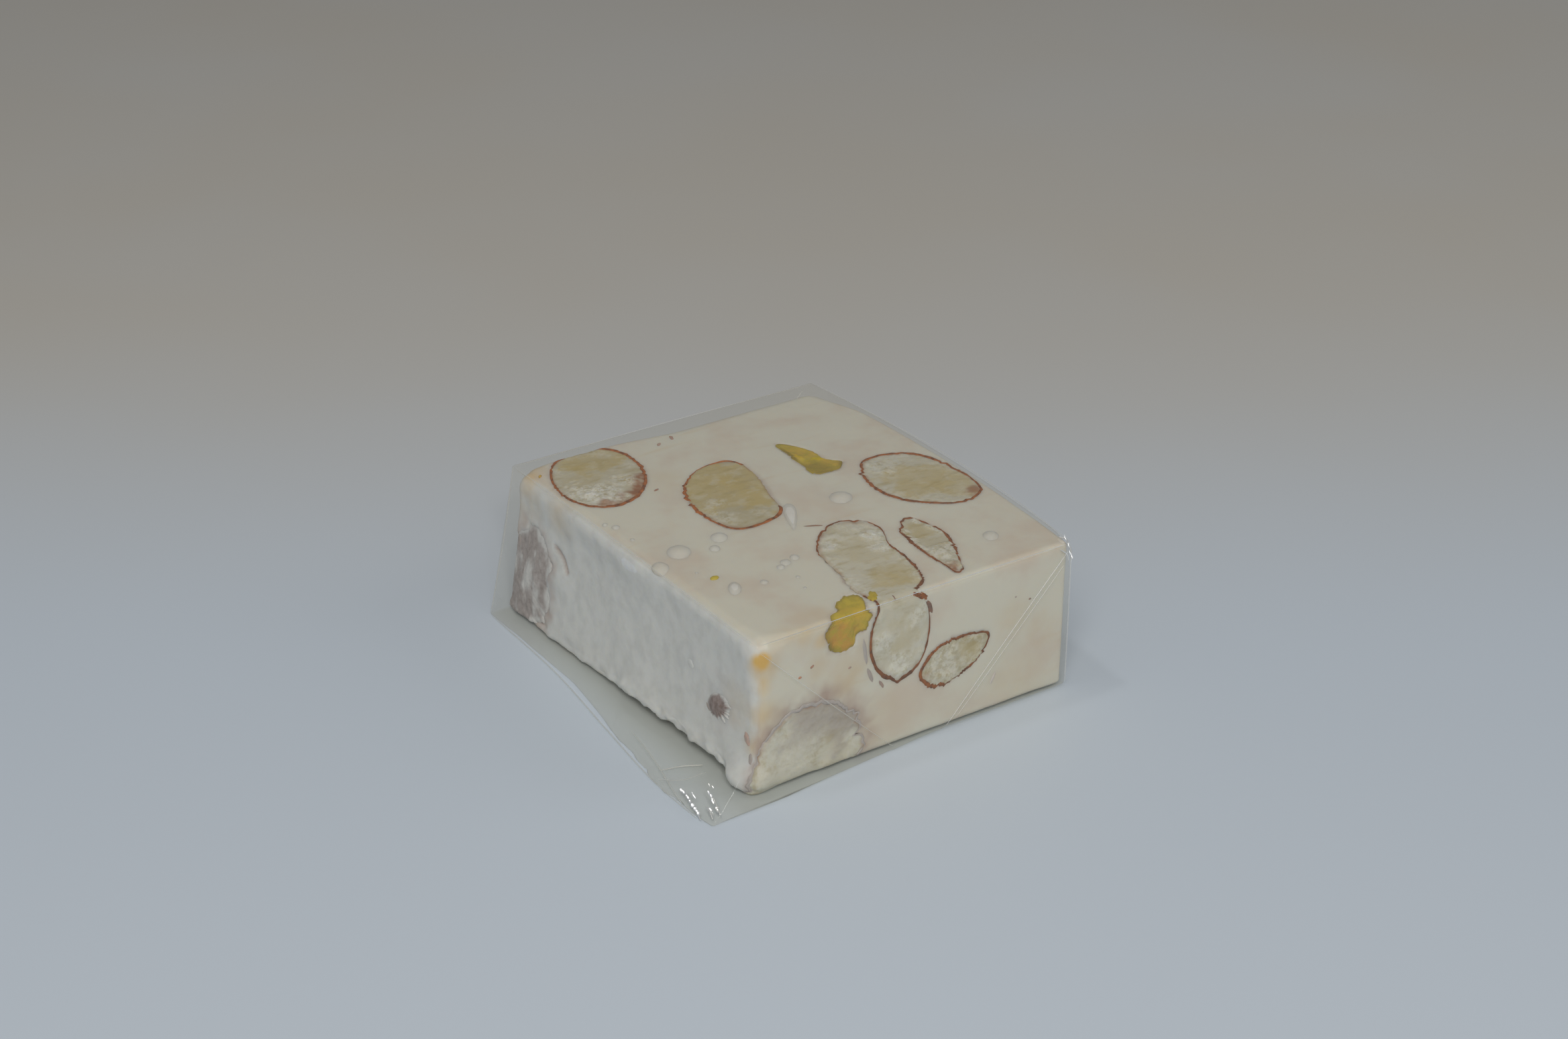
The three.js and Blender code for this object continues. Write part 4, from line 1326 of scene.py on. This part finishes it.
def facet(place, ahead, facet_length, width, lean):
    """A small flat crinkle: a thin closed ellipsoid whose broad side looks along lean."""
    normal = unit(lean)
    along = unit(ahead - normal * (ahead @ normal))
    across = np.cross(normal, along)
    thin = 0.12 * width * normal
    tilt = np.linspace(np.pi, 0, 9)[1:-1, None]
    turn = ring_angles(14)
    shape = (facet_length / 2 * (np.sin(tilt) * np.cos(turn))[..., None] * along
             + width / 2 * (np.sin(tilt) * np.sin(turn))[..., None] * across
             + np.cos(tilt)[..., None] * thin)
    points = place + np.concatenate([shape.reshape(-1, 3), [thin, -thin]])
    return points, closed_rings(len(tilt), len(turn)), {"doubled": 0.0}


def crinkle_parts():
    draw = np.random.default_rng(77)
    parts = []
    for start, end, count, width in CRINKLES:
        start, end = np.array(start), np.array(end)
        for share in (np.arange(count) + 0.5) / count:
            place = start + (end - start) * (share + draw.normal() * 0.15 / count)
            place = place + draw.normal(size=3) * 0.05
            spread = np.linalg.norm(end - start) / count * draw.uniform(0.8, 1.3)
            lean = CATCH + draw.normal(size=3) * 0.06
            parts.append(facet(place, end - start, spread, width * draw.uniform(0.6, 1.3), lean))
    return parts


def crease_parts(folds):
    return [(*tube(spline(points, 70), radius), {"doubled": 0.0}) for points, radius in folds]


def make_film_folds():
    # The creases' whitish scattered part is painted highlight: it makes the fold lines lighter than
    # the lamps alone would.
    crease = film_material("film_crease", mirror=0.25, haze=0.8, gloss_roughness=0.3)
    piece = join_mesh("film_folds", crease_parts(FOLDS), crease)
    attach(piece, "root")
    # The glints mirror the glint lamps; their whitish scattered part is painted highlight.
    glint = film_material("film_glint", mirror=0.95, haze=0.3, gloss_roughness=0.3)
    piece = join_mesh("film_glints", crease_parts(GLINTS) + crinkle_parts(), glint)
    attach(piece, "root")


# ------------------------------------------------------------------ stage


def look_at(place, target):
    return (Vector(target) - Vector(place)).to_track_quat("-Z", "Y").to_matrix().to_4x4()


def make_camera():
    """The camera stands back from its aim by its distance, turned and raised by its angles."""
    look = settings("stage_settings")
    aim = Vector(to_row([7.42, 10.97, 8.82]))
    turn, rise = look.azimuth, look.elevation
    back = Vector((np.sin(turn) * np.cos(rise), -np.cos(turn) * np.cos(rise), np.sin(rise)))
    place = aim + back * look.distance
    camera = bpy.data.objects.new("camera", bpy.data.cameras.new("camera"))
    camera.data.lens = look.lens
    camera.data.sensor_width = 36
    camera.data.clip_start = 0.01
    camera.matrix_world = Matrix.Translation(place) @ look_at(place, aim)
    bpy.context.scene.collection.objects.link(camera)
    bpy.context.scene.camera = camera


# Area lights that face the piece: (name, place in metres, side, watts, colour).
LIGHTS = [
    ("key", (-0.26, -0.345, 0.42), 0.24, 1.26, (1.0, 0.985, 0.95)),
    ("fill", (0.4, -0.3, 0.35), 0.3, 0.3, (0.95, 0.98, 1.0)),
    ("glint_front", (-0.16, -0.36, 0.27), 0.03, 0.2, (1.0, 1.0, 1.0)),
    ("glint_above", (-0.12, 0.06, 0.42), 0.03, 0.1, (1.0, 1.0, 1.0)),
]


def make_light(name, place, side, power, tint):
    lamp = bpy.data.lights.new(name, "AREA")
    lamp.size = side
    lamp.energy = power
    lamp.color = tint
    light = bpy.data.objects.new(name, lamp)
    light.matrix_world = Matrix.Translation(place) @ look_at(place, (0, 0, 0.008))
    bpy.context.scene.collection.objects.link(light)


def make_floor():
    """A square far wider than the view, a hair under the ground so that nothing touches it."""
    half, gap = 1.6, 0.00002
    corners = np.array([[-half, -half, -gap], [half, -half, -gap],
                        [half, half, -gap], [-half, half, -gap]])
    floor = make_mesh("floor", corners, [np.array([[0, 1, 2, 3]])], floor_material(),
                      row_frame=True)


def make_stage():
    make_camera()
    make_floor()
    world = bpy.data.worlds.new("soft_room")
    world.use_nodes = True
    background = world.node_tree.nodes["Background"]
    background.inputs["Color"].default_value = (0.93, 0.96, 1.0, 1)
    background.inputs["Strength"].default_value = 0.22
    bpy.context.scene.world = world
    bpy.context.scene.view_settings.view_transform = "Standard"
    for light in LIGHTS:
        make_light(*light)


# ------------------------------------------------------------------ add-on


class NOUGAT_OT_block(bpy.types.Operator):
    """Build the nougat block"""

    bl_idname = "nougat.block"
    bl_label = "Nougat block"

    def execute(self, context):
        make_nougat()
        return {"FINISHED"}


class NOUGAT_OT_almonds(bpy.types.Operator):
    """Build the cut almonds"""

    bl_idname = "nougat.almonds"
    bl_label = "Cut almonds"

    def execute(self, context):
        make_almonds()
        return {"FINISHED"}


class NOUGAT_OT_skins(bpy.types.Operator):
    """Build the almonds' skins, cut and uncut"""

    bl_idname = "nougat.skins"
    bl_label = "Almond skins"

    def execute(self, context):
        make_skins()
        make_skin_patches()
        return {"FINISHED"}


class NOUGAT_OT_pistachios(bpy.types.Operator):
    """Build the pistachio pieces"""

    bl_idname = "nougat.pistachios"
    bl_label = "Pistachios"

    def execute(self, context):
        make_pistachios()
        return {"FINISHED"}


class NOUGAT_OT_bits(bpy.types.Operator):
    """Build the syrup blisters and the crumbs"""

    bl_idname = "nougat.bits"
    bl_label = "Blisters and crumbs"

    def execute(self, context):
        make_blisters()
        make_crumbs()
        return {"FINISHED"}


class NOUGAT_OT_film(bpy.types.Operator):
    """Build the film and its folds"""

    bl_idname = "nougat.film"
    bl_label = "Film wrap"

    def execute(self, context):
        make_film_sheet()
        make_film_folds()
        return {"FINISHED"}


class NOUGAT_OT_stage(bpy.types.Operator):
    """Set the floor, the lights and the camera"""

    bl_idname = "nougat.stage"
    bl_label = "Stage"

    def execute(self, context):
        make_stage()
        return {"FINISHED"}


OPERATORS = (NOUGAT_OT_block, NOUGAT_OT_almonds, NOUGAT_OT_skins, NOUGAT_OT_pistachios,
             NOUGAT_OT_bits, NOUGAT_OT_film, NOUGAT_OT_stage)
GROUPS = {"nougat_settings": NougatSettings, "nut_settings": NutSettings,
          "film_settings": FilmSettings, "stage_settings": StageSettings}


class NOUGAT_PT_panel(bpy.types.Panel):
    """The pieces, in the order they are built"""

    bl_label = "Wrapped nougat"
    bl_idname = "NOUGAT_PT_panel"
    bl_space_type = "VIEW_3D"
    bl_region_type = "UI"
    bl_category = "Nougat"

    def draw(self, context):
        for operator in OPERATORS:
            self.layout.operator(operator.bl_idname)
        for group, kind in GROUPS.items():
            box = self.layout.box()
            for name in kind.__annotations__:
                box.prop(getattr(context.scene, group), name)


def register():
    for kind in (*GROUPS.values(), *OPERATORS, NOUGAT_PT_panel):
        bpy.utils.register_class(kind)
    for group, kind in GROUPS.items():
        setattr(bpy.types.Scene, group, PointerProperty(type=kind))


def unregister():
    for group in GROUPS:
        delattr(bpy.types.Scene, group)
    for kind in reversed((*GROUPS.values(), *OPERATORS, NOUGAT_PT_panel)):
        bpy.utils.unregister_class(kind)


def main():
    register()
    bpy.ops.nougat.stage()
    bpy.ops.nougat.block()
    bpy.ops.nougat.almonds()
    bpy.ops.nougat.skins()
    bpy.ops.nougat.pistachios()
    bpy.ops.nougat.bits()
    bpy.ops.nougat.film()


if __name__ == "__main__":
    main()
